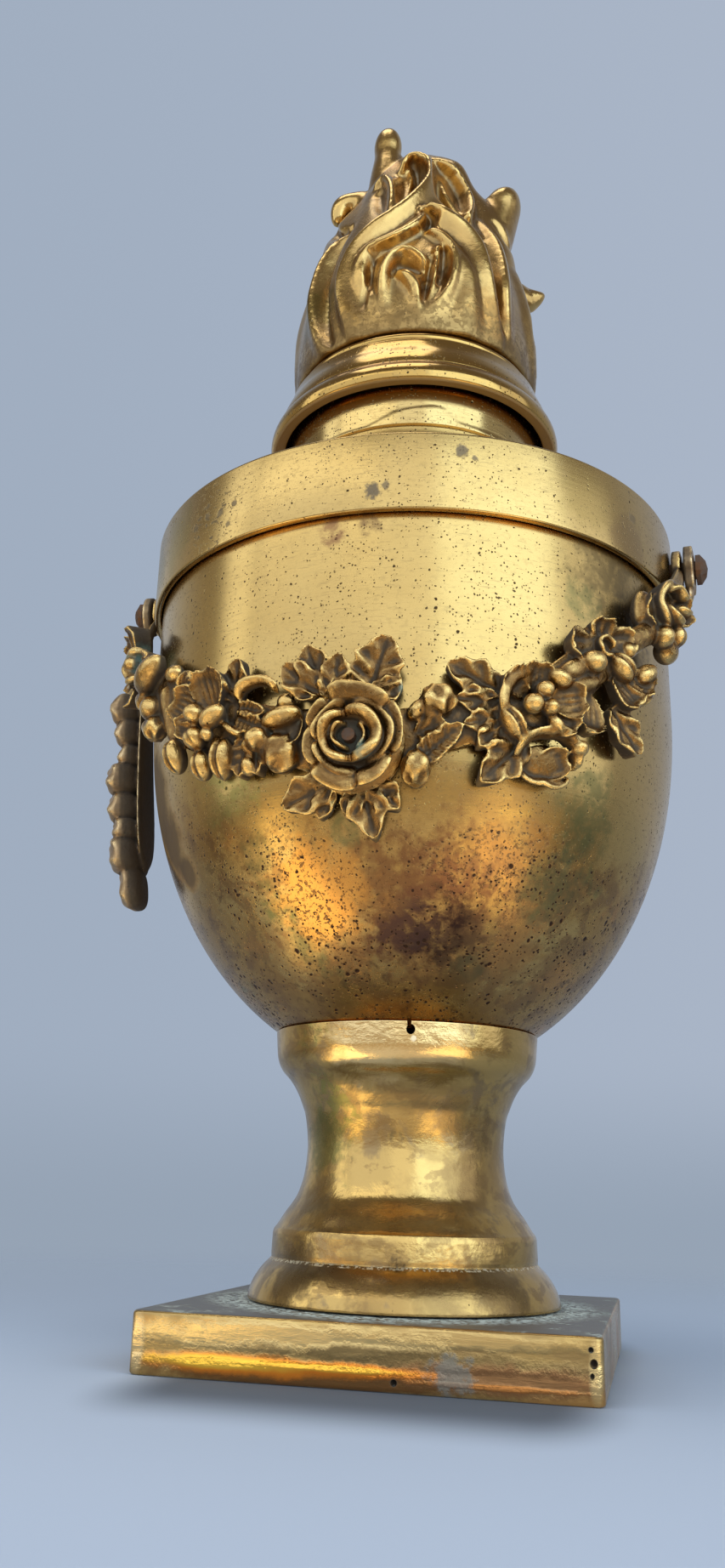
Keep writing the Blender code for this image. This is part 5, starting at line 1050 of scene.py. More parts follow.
# Pods: degrees, millimetres above, half width, half length, relief, half depth, crease, turn, lumps
SWAG_PODS = (
    (12.2, -58.9, 2.7, 3.1, 2.9, 2.9, 0, 0, 0.10), (15.7, -47.0, 3.3, 2.9, 2.6, 2.9, 0, 30, 0.16),
    (12.4, -48.6, 1.5, 2.2, 2.4, 1.9, 0, -40), (28.7, -50.1, 1.9, 3.5, 3.6, 2.5, 0.6, 36),
    (33.6, -43.9, 1.6, 1.6, 4.8, 1.9), (31.6, -46.7, 1.8, 1.8, 4.8, 2.1), (34.8, -46.9, 1.5, 1.5, 4.8, 1.9),
    (36.7, -41.0, 2.5, 1.8, 3.8, 2.3, 0, -20), (36.4, -49.5, 1.1, 2.1, 4.0, 1.6, 0.3, 50),
    (36, -55.6, 5.0, 3.3, 1.2, 1.2), (41.9, -52.6, 1.7, 1.5, 3.4, 1.7), (46.8, -32.6, 6.0, 4.8, 1.4, 1.6),
    (43.8, -36.2, 2.4, 2.2, 3.8, 2.5), (50.7, -35.3, 2.2, 3.1, 3.6, 2.6, 0.4, 50),
    (57.0, -34.8, 1.9, 2.9, 3.8, 2.3, 0, -50), (52.6, -31.2, 1.6, 1.5, 3.4, 1.6),
    (58.6, -20.6, 2.6, 4.2, 2.0, 2.2), (64.6, -18.6, 4.6, 4.6, 3.2, 1.8), (62.2, -25.3, 2.1, 2.3, 4.2, 2.5),
    (66.2, -23.8, 1.6, 2.2, 5.0, 2.2, 0.3, 10), (65.4, -26.8, 2.8, 2.6, 3.2, 2.4),
    (-46.4, -31.4, 2.5, 5.0, 4.2, 3.0, 0, -62), (-39.2, -33.4, 2.4, 1.8, 2.4, 1.8),
    (-29.6, -45.0, 1.9, 1.9, 4.8, 2.3), (-25.1, -46.6, 1.7, 2.9, 4.8, 2.3, 0, -60),
    (-26.9, -49.5, 1.2, 1.2, 4.6, 1.4), (-30.6, -49.2, 2.3, 2.2, 4.0, 2.4, 0.2, 20),
    (-24.6, -54.2, 2.4, 3.8, 3.4, 2.8, 0.45, -10), (-30.6, -54.2, 2.2, 2.8, 3.0, 2.3, 0.3, 0),
    (-18.7, -52.8, 1.4, 1.4, 3, 1.4), (-19.3, -56.2, 1.5, 1.8, 2.6, 1.6),
    (-11.6, -48.9, 1.9, 3.9, 3.2, 2.8, 0, -75), (-18.4, -40.4, 1.3, 1.2, 1.2, 1.0),
    (-11.6, -45.2, 1.8, 1.6, 1.2, 1.2), (-15.9, -52.4, 2.3, 2.2, 4.0, 2.8, 0, 0, 0.06),
    (-12.4, -54.8, 3.7, 3.5, 2.6, 2.8, 0, -30, 0.1), (-38.9, -50.4, 2.3, 3.5, 2.8, 2.6, 0.35, 6),
    (-47.2, -38.2, 2.4, 2.7, 3.2, 2.6), (-46.2, -42.8, 2.7, 2.5, 3.0, 2.6, 0, 0, 0.1),
    (-51, -35.2, 2.6, 2.4, 3, 2.4, 0, 0, 0.1), (-56, -25.4, 1.7, 1.7, 5.0, 2),
    (-62.6, -24, 2.0, 2.0, 4.2, 1.8))
# Petal walls: centre, start and turn in degrees, reach, foot and top of relief, thickness, lean, lip
SWAG_WALLS = ((32.8, -46.2, 92, 128, (5.9, 5.6, 5.2), 1.6, 5.0, 1.9, 0.8, 0.5),
              (32.4, -46.0, 232, 60, (4.2, 4.2), 1.6, 4.0, 1.3, 0.8),
              (36, -55.2, -8, 195, (6.2, 4.0, 5.6), 1.0, 4.8, 1.5, 0.9, 0.5),
              (36, -55.4, 192, 150, (5.2, 3.4, 5.4), 0.8, 3.0, 1.3, 0.8),
              (46.6, -32.3, 0, 335, (1.6, 1.6), 2.6, 5.0, 0.9, 0.2),
              (53.6, -37.6, -80, 140, (3.4, 3.8), 1.6, 4.6, 1.6, 0.8, 0.5),
              (64.4, -18.4, 15, 262, (4.3, 3.9, 4.5, 4.2), 1.8, 6.6, 1.8, 0.5, 0.4),
              (-53, -26.6, 95, 215, (3.6, 3.0, 3.4), 2.0, 7.0, 1.7, 0.6, 0.4),
              (-63, -23.4, 210, 120, (3.2, 2.8), 2.4, 5.2, 1.1, 0.8),
              (-16.8, -45.4, 25, 135, (4.2, 4.0), 1.4, 4.4, 1.6, 0.9, 0.4),
              (-26.4, -43.0, 20, 140, (3.6, 4.4, 3.8), 2.0, 5.4, 1.5, 0.9, 0.5),
              (-34, -38.0, 40, 130, (2.6, 2.6), 1.8, 3.8, 1.0, 0.5))
ROSE_AT = (1.2, -54.0)
swag_skins = [stem(SWAG_STEM, 150)] + [stem(rows, 40) for rows in SWAG_BRANCHES]
swag_skins += [leaf(*row) for row in SWAG_LEAVES] + [petal(*row) for row in SWAG_PETALS]
swag_skins += [pod(*row) for row in SWAG_PODS] + [rolled_wall(*row) for row in SWAG_WALLS]
swag_skins.append(pod(*ROSE_AT, 8.0, 8.0, 1.1, 1.0))
swag_skins = bent(swag_skins)
swag_skins += [eye(turn, SWAG_SEAT, SWAG_SEAT + EYE_THICK) for turn in (-SCREW_AZIMUTH, SCREW_AZIMUTH)]
cast_swag = melted("cast_swag", swag_skins, 0.30, 2)
note_hollows(cast_swag, 0.7, 30)


def fill_hollows(tree, given):
    """How deep a point of a casting lies in its hollows, cut between Low and High."""
    depth = add(tree, "Attribute", {"attribute_name": "hollow"}).outputs["Fac"]
    grit = reckon(tree, "SUBTRACT", noise(tree, own_place(tree), 700.0, 4.0).outputs[0], 0.5)
    return eased_step(tree, reckon(tree, "MULTIPLY_ADD", grit, 0.22, depth), given["Low"], given["High"])


effect("hollows", {"Low": 0.5, "High": 0.8}, fill_hollows)


def fill_inward(tree, given):
    """How far a face turns from outwards to the urn's axis: its normal times the way out, cut between
    Low and High."""
    out = vector(tree, "DOT_PRODUCT", outwards(tree), add(tree, "NewGeometry").outputs["Normal"])
    return eased_step(tree, out, given["Low"], given["High"])


effect("inward", {"Low": 0.3, "High": -0.3}, fill_inward)


def cast_bronze(name, colour=(0.235, 0.122, 0.04), worn=(0.76, 0.48, 0.165), rough=0.23):
    """Dark cast bronze: mottled, gritty, worn bright on its heights, with a grey-green bloom below; its
    hollows are brown patina and painted shade, and faces turned to the urn are painted dark as shade.
    """
    metal = Metal(name, colour, rough)
    darker = tuple(0.77 * value for value in colour)
    metal.lay("blotches", darker, rough + 0.05, Scale=260.0, Low=0.42, High=0.6)
    metal.lay("hollows", worn, 0.12, strength=0.85, Low=0.42, High=0.22)
    # Dark brown in the hollows: patina, and painted shade
    metal.lay("hollows", (0.065, 0.043, 0.024), 0.6, 0.65, strength=0.95, Low=0.49, High=0.68)
    metal.lay("hollows", (0.12, 0.13, 0.10), 0.85, 0.1, strength=0.6, Low=0.76, High=1.0)
    # Faces turned towards the urn painted near black as shade
    metal.lay("inward", (0.035, 0.024, 0.015), 0.9, 0.1, strength=0.95, Low=0.35, High=-0.15)
    metal.lay("blotches", height=0.07, Scale=900.0, Low=0.3, High=0.7)
    metal.lay("pits", (0.04, 0.028, 0.016), 0.7, height=-0.06, Scale=900.0, Rarity=0.75, Patch=120.0)
    return metal


swag_bronze = cast_bronze("swag_bronze")
for azimuth, radius, drop, reach in ((-57.0, 61.0, 24.0, 5.0), (11.0, 60.0, 45.0, 2.5)):
    verdigris = swag_bronze.near(azimuth, radius, SCREW_Z - drop, reach, 0.7)
    swag_bronze.lay(verdigris, (0.16, 0.27, 0.23), 0.8, 0.1)
swag_bronze.cover(cast_swag)
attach(cast_swag, "urn")
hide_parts("flower_swag")


# Rose
# A separate cast rose, 21 mm across, riveted on the middle of the swag: six leaning outer petals with
# rolled lips, a ring of standing ones and two whorls round an open heart.
#
# Walls: start and turn in degrees, reach, foot and top of relief, thickness, lean, lip
ROSE_WALLS = (
    (34, 84, (5.9, 5.7, 6.1), 2.6, 7.6, 2.0, 3.0, 0.8), (-26, 74, (5.8, 6.0, 5.8), 2.2, 6.6, 1.8, 2.9, 0.6),
    (-88, 66, (5.5, 5.7, 5.5), 2.2, 7.2, 2.0, 2.7, 0.7),
    (214, 66, (6.3, 6.1, 5.9), 2.2, 7.0, 2.1, 2.7, 0.8), (116, 46, (5.8, 6.4), 2.0, 5.2, 1.6, 2.6, 0.4),
    (154, 62, (5.6, 5.4), 2.0, 5.2, 1.7, 2.6, 0.4), (-62, 150, (4.7, 5.3, 4.6), 2.6, 7.2, 1.4, 1.7, 0.5),
    (92, 92, (5.1, 4.6), 2.6, 6.6, 1.4, 1.6, 0.4), (180, 104, (4.6, 5.1), 2.6, 6.4, 1.4, 1.7, 0.4),
    (-92, 196, (3.5, 4.1, 3.6), 2.8, 8.7, 2.0, 0.8, 0.5),
    (96, 182, (3.6, 3.9, 3.5), 2.8, 8.1, 1.7, 0.7, 0.4),
    (100, 170, (2.2, 2.4, 1.9), 3.0, 7.5, 1.0, 0.3, 0.3),
    (-70, 130, (2.2, 2.4, 2.3), 3.0, 7.0, 0.9, 0.3, 0.3))
rose_skins = [rolled_wall(*ROSE_AT, *row) for row in ROSE_WALLS]
rose_skins += [pod(*ROSE_AT, 9.2, 9.2, 2.2, 2.4), pod(*ROSE_AT, 5.2, 5.2, 3.6, 1.6)]
cast_rose = melted("cast_rose", bent(rose_skins), 0.20, 3)
note_hollows(cast_rose, 0.7, 50)
rose_bronze = cast_bronze("rose_bronze")
rose_bronze.lay(rose_bronze.near(3.4, 62.0, SCREW_Z - 56.6, 2.2, 0.7), (0.12, 0.22, 0.19), 0.7, 0.2)
# Painted shade in the rose's open heart
rose_bronze.lay(rose_bronze.near(1.2, 60.0, SCREW_Z - 54.0, 3.4, 0.9, 0.8), (0.055, 0.052, 0.036), 0.75, 0.3)
rose_bronze.cover(cast_rose)
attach(cast_rose, "urn")
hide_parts("swag_rose")


# Side drops
# The left screw carries a flat-backed cast string of flower lumps, 72 mm long. On the right only a
# scalloped eye and the stub of its strap are left. Each hangs clamped under its screw's head.
DROP_BACK, DROP_LEAN = 1.8, 4.4
drop_layer = EYE_THICK + 0.3
# Buds: height, half width, half length, reach; straps: height, half width
DROP_BUDS = (
    (-24.5, 4.4, 4.2, 11.6), (-30.5, 4.8, 3.5, 10.2), (-36.4, 5.2, 3.0, 9.2), (-41.8, 6.0, 3.9, 11.8),
    (-48.6, 5.6, 3.8, 11.4), (-54, 6.4, 3.0, 10.2), (-59.6, 6.8, 4.2, 11.0), (-66.4, 4.8, 5.0, 9.0))
DROP_STRAP = ((-3, 1.8), (-14, 1.8), (-22, 4), (-38, 5.4), (-50, 6.2), (-58, 5.4), (-63, 2.4))
STUB_STRAP = ((-3, 1.8), (-4.2, 1.8), (-7, 1.6))


def strap(azimuth, rows):
    """A flat strap a little off the swag's eye, through rows of height and half width."""
    half = DROP_BACK / 2
    return stem([(azimuth, y, drop_layer + half, wide, half) for y, wide in rows], 80)


def lump(azimuth, y, wide, tall, out):
    """A squarish bud: every sine and cosine of a ball to the power 0.7, its face lumpy and creased."""
    p = np.linspace(-math.pi / 2 + 0.12, math.pi / 2 - 0.12, 18)[:, None]
    q = np.linspace(0.0, 2 * math.pi, 28, endpoint=False)[None, :]

    def blunt(v):
        return np.sign(v) * np.abs(v) ** 0.7

    a, b = blunt(np.cos(p)) * blunt(np.cos(q)), blunt(np.sin(p)) + 0 * q
    c = blunt(np.cos(p)) * blunt(np.sin(q))
    deep = (out - drop_layer - DROP_BACK / 3) / 2.16
    dent = 0.14 * np.cos(3 * np.arctan2(b, a) + y) + 0.10 * np.cos(7 * a + 5 * b + y) - 0.1
    face = out - deep + deep * (c + dent * np.clip(c, 0.0, 1.0))
    return skin(np.stack((azimuth + wide * a, y + tall * b, face), -1), ring=False)


eye_back, eye_face = SWAG_SEAT + drop_layer, SWAG_SEAT + drop_layer + EYE_THICK
drop_skins = [strap(-SCREW_AZIMUTH, DROP_STRAP)] + [lump(-SCREW_AZIMUTH, *row) for row in DROP_BUDS]
drop_skins = bent(drop_skins, DROP_LEAN) + [eye(-SCREW_AZIMUTH, eye_back, eye_face)]
cast_drop = melted("cast_drop", drop_skins, 0.26, 3)
stub_skins = bent([strap(SCREW_AZIMUTH, STUB_STRAP)], DROP_LEAN)
stub_skins.append(eye(SCREW_AZIMUTH, eye_back, eye_face, 4.9, 2.1, 6))
cast_stub = melted("cast_stub", stub_skins, 0.22, 2)
drop_bronze = cast_bronze("drop_bronze", (0.42, 0.27, 0.145), (0.74, 0.52, 0.27), 0.42)
for piece, node in ((cast_drop, "left_drop"), (cast_stub, "right_drop_stub")):
    note_hollows(piece, 0.8, 34)
    drop_bronze.cover(piece)
    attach(piece, "urn")
    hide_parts(node)


# Side screws and rose rivet
# Steel with round heads, rusted brown: two screws hold swag, drops, band and bowl together, and a
# rivet holds the rose.
rusty_steel = Metal("rusty_steel", (0.15, 0.075, 0.04), 0.6)
rusty_steel.lay("blotches", (0.085, 0.048, 0.03), 0.8, 0.2, 0.05, Scale=500.0, Low=0.42, High=0.6)
rusty_steel.cover(*[frame["nodes"][name] for name in ("left_screw", "right_screw", "rose_rivet")])


# Lid: spigot, moulding and bead
# Turned brass. The spigot sits in the neck's bore, the moulding stands over the neck with a roll at its
# lower edge and a broad band above, and a thin bead lies between it and the flame.
LID_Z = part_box("lid_spigot")[1].z / MM + 0.3
STUD_HOLE, SPIGOT_R, SPIGOT_BORE, BEAD_R, BEAD_BULGE = 2.8, 28.0, 26.8, 27.6, 1.15
# The moulding's outside: height above the spigot's plate, radius
LID_SHAPE = (
    (-8.75, 33.2), (-8.8, 33.6), (-8.3, 34.15), (-7.2, 34.45), (-6.0, 34.35), (-4.8, 33.9), (-3.7, 33.15),
    (-3.15, 32.75), (-2.9, 32.75), (-1.6, 32.45), (0.2, 31.75), (2.0, 30.9), (3.6, 30.35), (4.6, 30.1))
lid_outer = np.array([(r, LID_Z + z) for z, r in LID_SHAPE])
lid_outer = np.vstack((through(lid_outer[:8], 40), through(lid_outer[8:], 30)))
lid_inner = np.array(((STUD_HOLE, LID_Z + 5.0), (STUD_HOLE, LID_Z), (30.6, LID_Z), (31.0, LID_Z - 3.1),
                      (30.75, LID_Z - 7.4), (31.3, LID_Z - 8.45)))
moulding_outline = np.vstack((((29.7, LID_Z + 5.0),), lid_inner, lid_outer))
moulding = shaped("lid_moulding", [skin(spun(eased(moulding_outline, 0.4, 2)))])
spigot_outline = ((STUD_HOLE, LID_Z - 0.3), (SPIGOT_R, LID_Z - 0.3), (SPIGOT_R, LID_Z - 8.3),
                  (SPIGOT_BORE, LID_Z - 8.3), (SPIGOT_BORE, LID_Z - 1.5), (STUD_HOLE, LID_Z - 1.5))
spigot = shaped("lid_cup", [skin(spun(eased(spigot_outline, 0.3, 2), 128))])
BEAD_LOW, BEAD_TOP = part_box("lid_bead")[0].z / MM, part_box("lid_bead")[1].z / MM
roll = np.linspace(-math.pi / 2, math.pi / 2, 14)
bead_half = (BEAD_TOP - BEAD_LOW) / 2
bead_levels = BEAD_LOW + bead_half + bead_half * np.sin(roll)
bead_roll = np.stack((BEAD_R + BEAD_BULGE * np.cos(roll), bead_levels), 1)
bead_outline = np.vstack((((STUD_HOLE, BEAD_LOW),), bead_roll, ((STUD_HOLE, BEAD_TOP),)))
bead = shaped("bead", [skin(spun(bead_outline))])
lid_brass = spun_brass_metal("lid_brass", (0.50, 0.285, 0.075), 0.15)
tree = lid_brass.tree
# Faces turned down get a dull, darker brown: painted shading of the underside
facing_down = eased_step(tree, part(tree, add(tree, "NewGeometry").outputs["Normal"], 2), -0.55, -0.9)
lid_brass.lay(facing_down, (0.34, 0.21, 0.085), 0.6, 0.25)
lid_brass.cover(moulding, spigot, bead)
for piece, body, node in ((moulding, "lid", "lid_ring"), (bead, "lid", "lid_bead"),
                          (spigot, "lid_carrier", "lid_spigot")):
    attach(piece, body)
    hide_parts(node)


# Flame
# A solid cast brass flame, 60 mm across and 81 mm high, on the lid's stud: dished tongues with raised
# edges licking round a bulb, and free curls, a knob and a tall finger above. Polished, with brown
# hollows that are patina and painted shade.
FLAME_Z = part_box("flame")[0].z / MM
# The bulb: height, radius
FLAME_CORE = ((0.0, 28.7), (1.6, 29.0), (6.0, 29.1), (13, 28.7), (20, 28.0), (29, 25.9), (38, 23.2),
              (48, 19.6), (57, 16.0), (64, 12.6), (69, 9.0), (72.5, 4.8), (74, 0.6))
# Ridges along the tongues' edges: degrees, height, rise, and width on the left and on the right of the
# way along. The wide side is the tongue's face, the narrow one its lip.
RIDGES = (
    # long S: upper edge with its hook, then lower edge
    ((-19, 0, 0.3, 1.8, 5), (-21, 4, 1.4, 1.8, 6), (-23.6, 9, 2.2, 1.8, 6), (-25.6, 15, 2.8, 1.8, 6),
     (-24.8, 21.5, 3.1, 1.8, 6), (-20.2, 27.6, 3.4, 1.9, 6), (-12.2, 32.1, 3.6, 2, 6),
     (-3.1, 35.3, 3.6, 2, 5.5), (6.1, 39.9, 3.8, 2, 5), (14.2, 45.8, 4.2, 1.8, 4.4),
     (19.3, 52.2, 4.4, 1.5, 4), (18.6, 57.5, 4.6, 1.5, 3.6), (12, 60.2, 4.6, 1.4, 3.4),
     (4.3, 60.2, 4.0, 1.3, 3), (-1, 57.6, 2.2, 1.2, 2)),
    ((-14.5, 11.5, 0.6, 4, 1.3), (-16, 16.4, 1.7, 4, 1.3), (-14.6, 21.4, 2.6, 4, 1.4),
     (-9.2, 24, 3.2, 5, 1.4), (-1.4, 25.4, 3.4, 5, 1.4), (6, 27.4, 3.5, 5, 1.4), (12.2, 30.4, 3.4, 5, 1.4),
     (17.5, 35, 2.6, 4, 1.4)),
    # front right tongue: outer edge with its tip, face, inner edge
    ((54.2, 2.9, 0.5, 7, 2), (51, 7.4, 1.4, 7, 2), (48.3, 12.5, 2.3, 7, 2), (45.5, 19.5, 3.1, 7, 2),
     (43.1, 26, 3.7, 7, 2), (37.6, 31.1, 4.1, 7, 2), (29.1, 34.2, 4.3, 6, 2), (22, 36.6, 4.3, 4.5, 1.9),
     (16.7, 37.8, 4.1, 3.4, 1.8), (13, 37.2, 3, 2.2, 1.6), (12.6, 34.8, 1.2, 1.5, 1.5)),
    ((34.7, 0.7, 0.5, 5, 5), (36, 6.9, 1.5, 6, 6), (35.4, 16.2, 2.2, 6, 6), (30, 23.6, 2.2, 4, 4)),
    ((12, 31.8, 1, 4, 1.3), (18.5, 28.8, 2.4, 4, 1.4), (23.9, 26.2, 3, 4, 1.4), (27.9, 22.3, 3, 4, 1.4),
     (28.4, 18, 2.7, 4, 1.4), (26.6, 13, 2.2, 4, 1.4), (22.4, 8.5, 1.4, 4, 1.4), (17.3, 5.6, 0.4, 3, 1.3)),
    # small tip beside it
    ((17.2, 8.1, 0.6, 1.4, 1.6), (19.4, 13.1, 1.4, 1.4, 1.6), (20, 18.7, 1.9, 1.4, 1.6),
     (21.5, 23.1, 2, 1.5, 1.5), (24.5, 23.7, 1, 1.3, 1.3)),
    # arch in the middle and the leaf inside it
    ((-3.6, 7, 0.8, 2, 2.4), (-3.8, 13, 2.4, 2.1, 2.6), (-2.4, 17.2, 3.2, 2.1, 2.6), (0.8, 20, 3.5, 2, 2.5),
     (5.5, 21.4, 3.5, 2, 2.3), (10.2, 20.8, 3.2, 1.9, 2), (14.2, 19.3, 2.2, 1.6, 1.7),
     (16.5, 18, 0.8, 1.4, 1.4)),
    ((13.6, 5, 0.4, 2, 2.2), (12, 8.5, 2.1, 2.2, 2.6), (9.8, 11.9, 3, 2.4, 3), (6.8, 14.2, 2.8, 2.2, 2.8),
     (3.4, 15.6, 1.4, 1.6, 2)),
    # small hook on the left
    ((-9.1, 8.6, 0.5, 1.4, 1.4), (-11.8, 13.1, 1.5, 1.5, 1.4), (-13, 18.3, 2.1, 1.6, 1.4),
     (-11.3, 22.3, 2.4, 1.6, 1.4), (-7.5, 24, 2.1, 1.5, 1.3), (-5.8, 25.3, 0.8, 1.3, 1.3)),
    # outer left leaf
    ((-32.3, 0, 0.5, 4, 1.5), (-36.4, 3, 1.3, 4, 1.6), (-40.5, 8.7, 2.1, 4.5, 1.6),
     (-43.7, 15.5, 2.6, 5, 1.6), (-45.4, 23.1, 2.8, 5, 1.6), (-46, 30.9, 2.7, 5, 1.6),
     (-44.6, 36.4, 1.8, 4, 1.5)),
    # curl on the upper right and the mass behind it
    ((22, 61, 2.4, 4, 1.6), (33, 59.4, 3.6, 5, 1.6), (43, 56, 4.4, 5, 1.6), (50.5, 51, 4.6, 5, 1.6),
     (49, 45, 3.6, 3.8, 1.6), (43.4, 40, 2.2, 2.8, 1.5), (39.6, 38, 0.6, 1.6, 1.4)),
    ((82, 28, 0.5, 6, 6), (78, 41, 3, 9, 9), (70, 52.6, 4.6, 9, 9), (55, 62, 3.6, 7, 7), (38, 68, 1, 5, 5)),
    # small lip left of the hook
    ((-4.3, 37, 0.6, 2.4, 2.2), (-4, 43.3, 1.8, 2.4, 2.2), (-7, 50, 2.6, 2.2, 2.2),
     (-14, 54.4, 2.8, 2.2, 2.2), (-22, 54, 1.6, 2, 2.2)),
    # right side
    ((57.8, 42.4, 1.4, 4, 1.8), (58.8, 35.5, 2.4, 5, 1.8), (57.7, 27.8, 2.7, 5, 1.8),
     (56.1, 19.7, 2.5, 5, 1.8), (56.3, 13.3, 1.9, 5, 1.8), (57.4, 6.2, 1, 4, 1.8)))
# Hollows beside them: degrees, height, depth and the same two widths
HOLLOWS = (
    ((15.2, 37.2, 2.6, 1.9, 1.9), (19.8, 34.6, 4.2, 2, 2), (16.7, 30.5, 2.6, 1.9, 1.9)),
    ((11, 57.4, 2, 1.7, 1.7), (12, 54.4, 4, 1.9, 1.9), (9, 49.7, 3.4, 1.8, 1.8), (5, 45, 1.2, 1.4, 1.4)),
    ((18.9, 20.2, 1.8, 1.2, 1.2), (17.1, 15.2, 2.8, 1.3, 1.3), (15.3, 10.1, 2.3, 1.2, 1.2),
     (13.9, 5.8, 0.6, 1, 1)),
    ((24.7, 23, 1.6, 1.3, 1.3), (24.6, 18.4, 2, 1.4, 1.4), (21.3, 12.9, 1.2, 1.2, 1.2)),
    ((0.4, 15.6, 1.2, 1.3, 1.3), (3, 18.2, 1.8, 1.3, 1.3), (8, 18, 2.2, 1.4, 1.4),
     (13, 16.4, 1.8, 1.4, 1.4)),
    ((-10.2, 23, 1.6, 1.3, 1.3), (-10.9, 17.9, 2.4, 1.4, 1.4), (-11.7, 11.9, 1.8, 1.3, 1.3),
     (-13.1, 7.8, 0.4, 1, 1)),
    ((-30.9, 2.3, 0.8, 1.6, 1.6), (-36, 10.1, 2, 1.9, 1.9), (-40, 19.4, 2.6, 2, 2),
     (-40.6, 28.2, 2.6, 2, 2), (-38.4, 35, 2.2, 1.9, 1.9), (-34, 40, 1.2, 1.6, 1.6)),
    ((42, 55.6, 1.6, 1.6, 1.6), (47.4, 51, 2.4, 1.8, 1.8), (43, 44.6, 1.6, 1.4, 1.4)),
    ((25.5, 56, 1.2, 2, 2), (27.8, 48.6, 2.8, 2.4, 2.4), (35, 43, 3.2, 2.2, 2.2), (44.4, 38, 2.4, 2, 2),
     (51.5, 34, 1.4, 1.9, 1.9)),
    ((52.4, 32, 1, 1.6, 1.6), (52.6, 26, 1.9, 1.8, 1.8), (51.6, 18.6, 2, 1.8, 1.8),
     (53, 11.2, 1.5, 1.7, 1.7), (55.4, 5.7, 0.6, 1.5, 1.5)),
    ((-80, 36, 0.6, 8, 8), (-76, 46, 2.4, 10, 10), (-66, 56, 4.2, 9, 9), (-50, 63, 3.6, 7, 7),
     (-34, 66, 2, 5, 5)),
    ((-1, 57, 0.8, 2.2, 2.2), (2, 52.7, 1.8, 2.4, 2.4), (2, 45.6, 1.4, 2.2, 2.2),
     (-1, 40.4, 0.4, 1.6, 1.6)),
    ((-18, 49.4, 1.2, 2.4, 2.4), (-13.5, 43.6, 1.4, 2.2, 2.2), (-9, 39, 0.4, 1.6, 1.6)),
    ((-58, 46.5, 2.2, 2, 2), (-50, 42, 3, 2.2, 2.2), (-40, 40, 1.6, 2, 2)))
# The pattern goes three times round: degrees turned, share of the height, share of the relief
FLAME_TURNS = ((0, 1.0, 1.0), (126, 0.95, 0.62), (-133, 0.93, 0.62))
# Free curls and fingers: rows of degrees, distance, height and half width
FINGERS = (
    ((-50, 11, 40, 8), (-54, 12.4, 50, 6.2), (-57, 14.2, 55.4, 4.4), (-60.5, 17, 57, 3.3),
     (-63.5, 19.9, 55.6, 3), (-65, 20.8, 50.4, 2.4)),
    ((-40, 9.0, 46, 7.2), (-40, 9.6, 57, 5.8), (-39, 9.9, 65, 4.6), (-38.6, 9.9, 70.6, 3.7),
     (-38.2, 9.9, 74.6, 3.9), (-38.6, 10.1, 79.6, 3.3)),
    ((80, 16, 34, 7.4), (84, 19.2, 44, 6.6), (86, 21.6, 51, 5.6), (86, 22.6, 55.6, 5.3),
     (84.6, 21.8, 59.0, 4.2)),
    ((93, 22, 29.5, 6.2), (96.2, 27.4, 29.1, 3.8), (97, 30.2, 29.8, 2.3), (97.5, 32.6, 31.2, 0.9)),
    ((206, 20, 26, 5.4), (204, 23.6, 37, 3.6), (198, 25, 43, 2.8), (188, 24.4, 45, 2.0)),
    ((252, 18, 36, 5.4), (250, 17.6, 50, 4.0), (240, 15.6, 60, 3.0), (226, 14.2, 64, 1.9)),
    ((150, 12, 48, 5.4), (146, 11, 60, 4.2), (142, 9.6, 70, 3.0), (150, 8.4, 76, 1.9)))


def drawn(lines, degrees, height, around, share, turn):
    """The greatest of the lines' reliefs for every degree and height: rise * smooth(1 - d / width),
    with d the distance to the line's nearest point and the width that of the side where the place lies."""
    relief = np.zeros(degrees.shape)
    for rows in lines:
        path = through(rows, 70)
        azimuth, level = path[:, 0] + turn, path[:, 1] * share
        across = (degrees - azimuth.mean() + 180.0) % 360.0 - 180.0
        close = (np.abs(across) < np.ptp(azimuth) / 2 + 10 / around) & (height > level.min() - 10)
        close &= height < level.max() + 10
        x = (across[close][:, None] - (azimuth - azimuth.mean())) * around[close][:, None]
        y = height[close][:, None] - level
        gap = np.hypot(x, y)
        nearest = gap.argmin(1)
        each = np.arange(len(nearest))
        ahead_x = np.gradient(azimuth) * np.interp(level, height[:, 0], around[:, 0])
        ahead_y = np.gradient(level)
        left = ahead_x[nearest] * y[each, nearest] - ahead_y[nearest] * x[each, nearest] > 0
        width = np.where(left, path[nearest, 3], path[nearest, 4])
        share_left = np.clip(1.0 - gap[each, nearest] / width, 0.0, 1.0)
        relief[close] = np.maximum(relief[close], path[nearest, 2] * share_left ** 2 * (3 - 2 * share_left))
    return relief


def licked(columns=560, rows=260):
    """The bulb with the ridges and hollows on it: core + ridges - hollows, for every degree and height."""
    degrees = np.linspace(-180.0, 180.0, columns, endpoint=False)[None, :] + np.zeros((rows, 1))
    height = np.linspace(0.0, FLAME_CORE[-1][0], rows)[:, None] + np.zeros((1, columns))
    core = through(FLAME_CORE, 200)
    reach = np.interp(height, core[:, 0], core[:, 1])
    around = np.maximum(reach, 2.0) * math.pi / 180
    ridges, hollows = 0 * reach, 0 * reach
    for turn, share, lower in FLAME_TURNS:
        ridges = np.maximum(ridges, lower * drawn(RIDGES, degrees, height, around, share, turn))
        hollows = np.maximum(hollows, lower * drawn(HOLLOWS, degrees, height, around, share, turn))
    reach = np.maximum(reach + (ridges - hollows) * np.clip(reach / 6.0, 0.0, 1.0), 0.3)
    angle = np.radians(degrees)
    return skin(np.stack((np.sin(angle) * reach, -np.cos(angle) * reach, FLAME_Z + height), -1), ring=False)


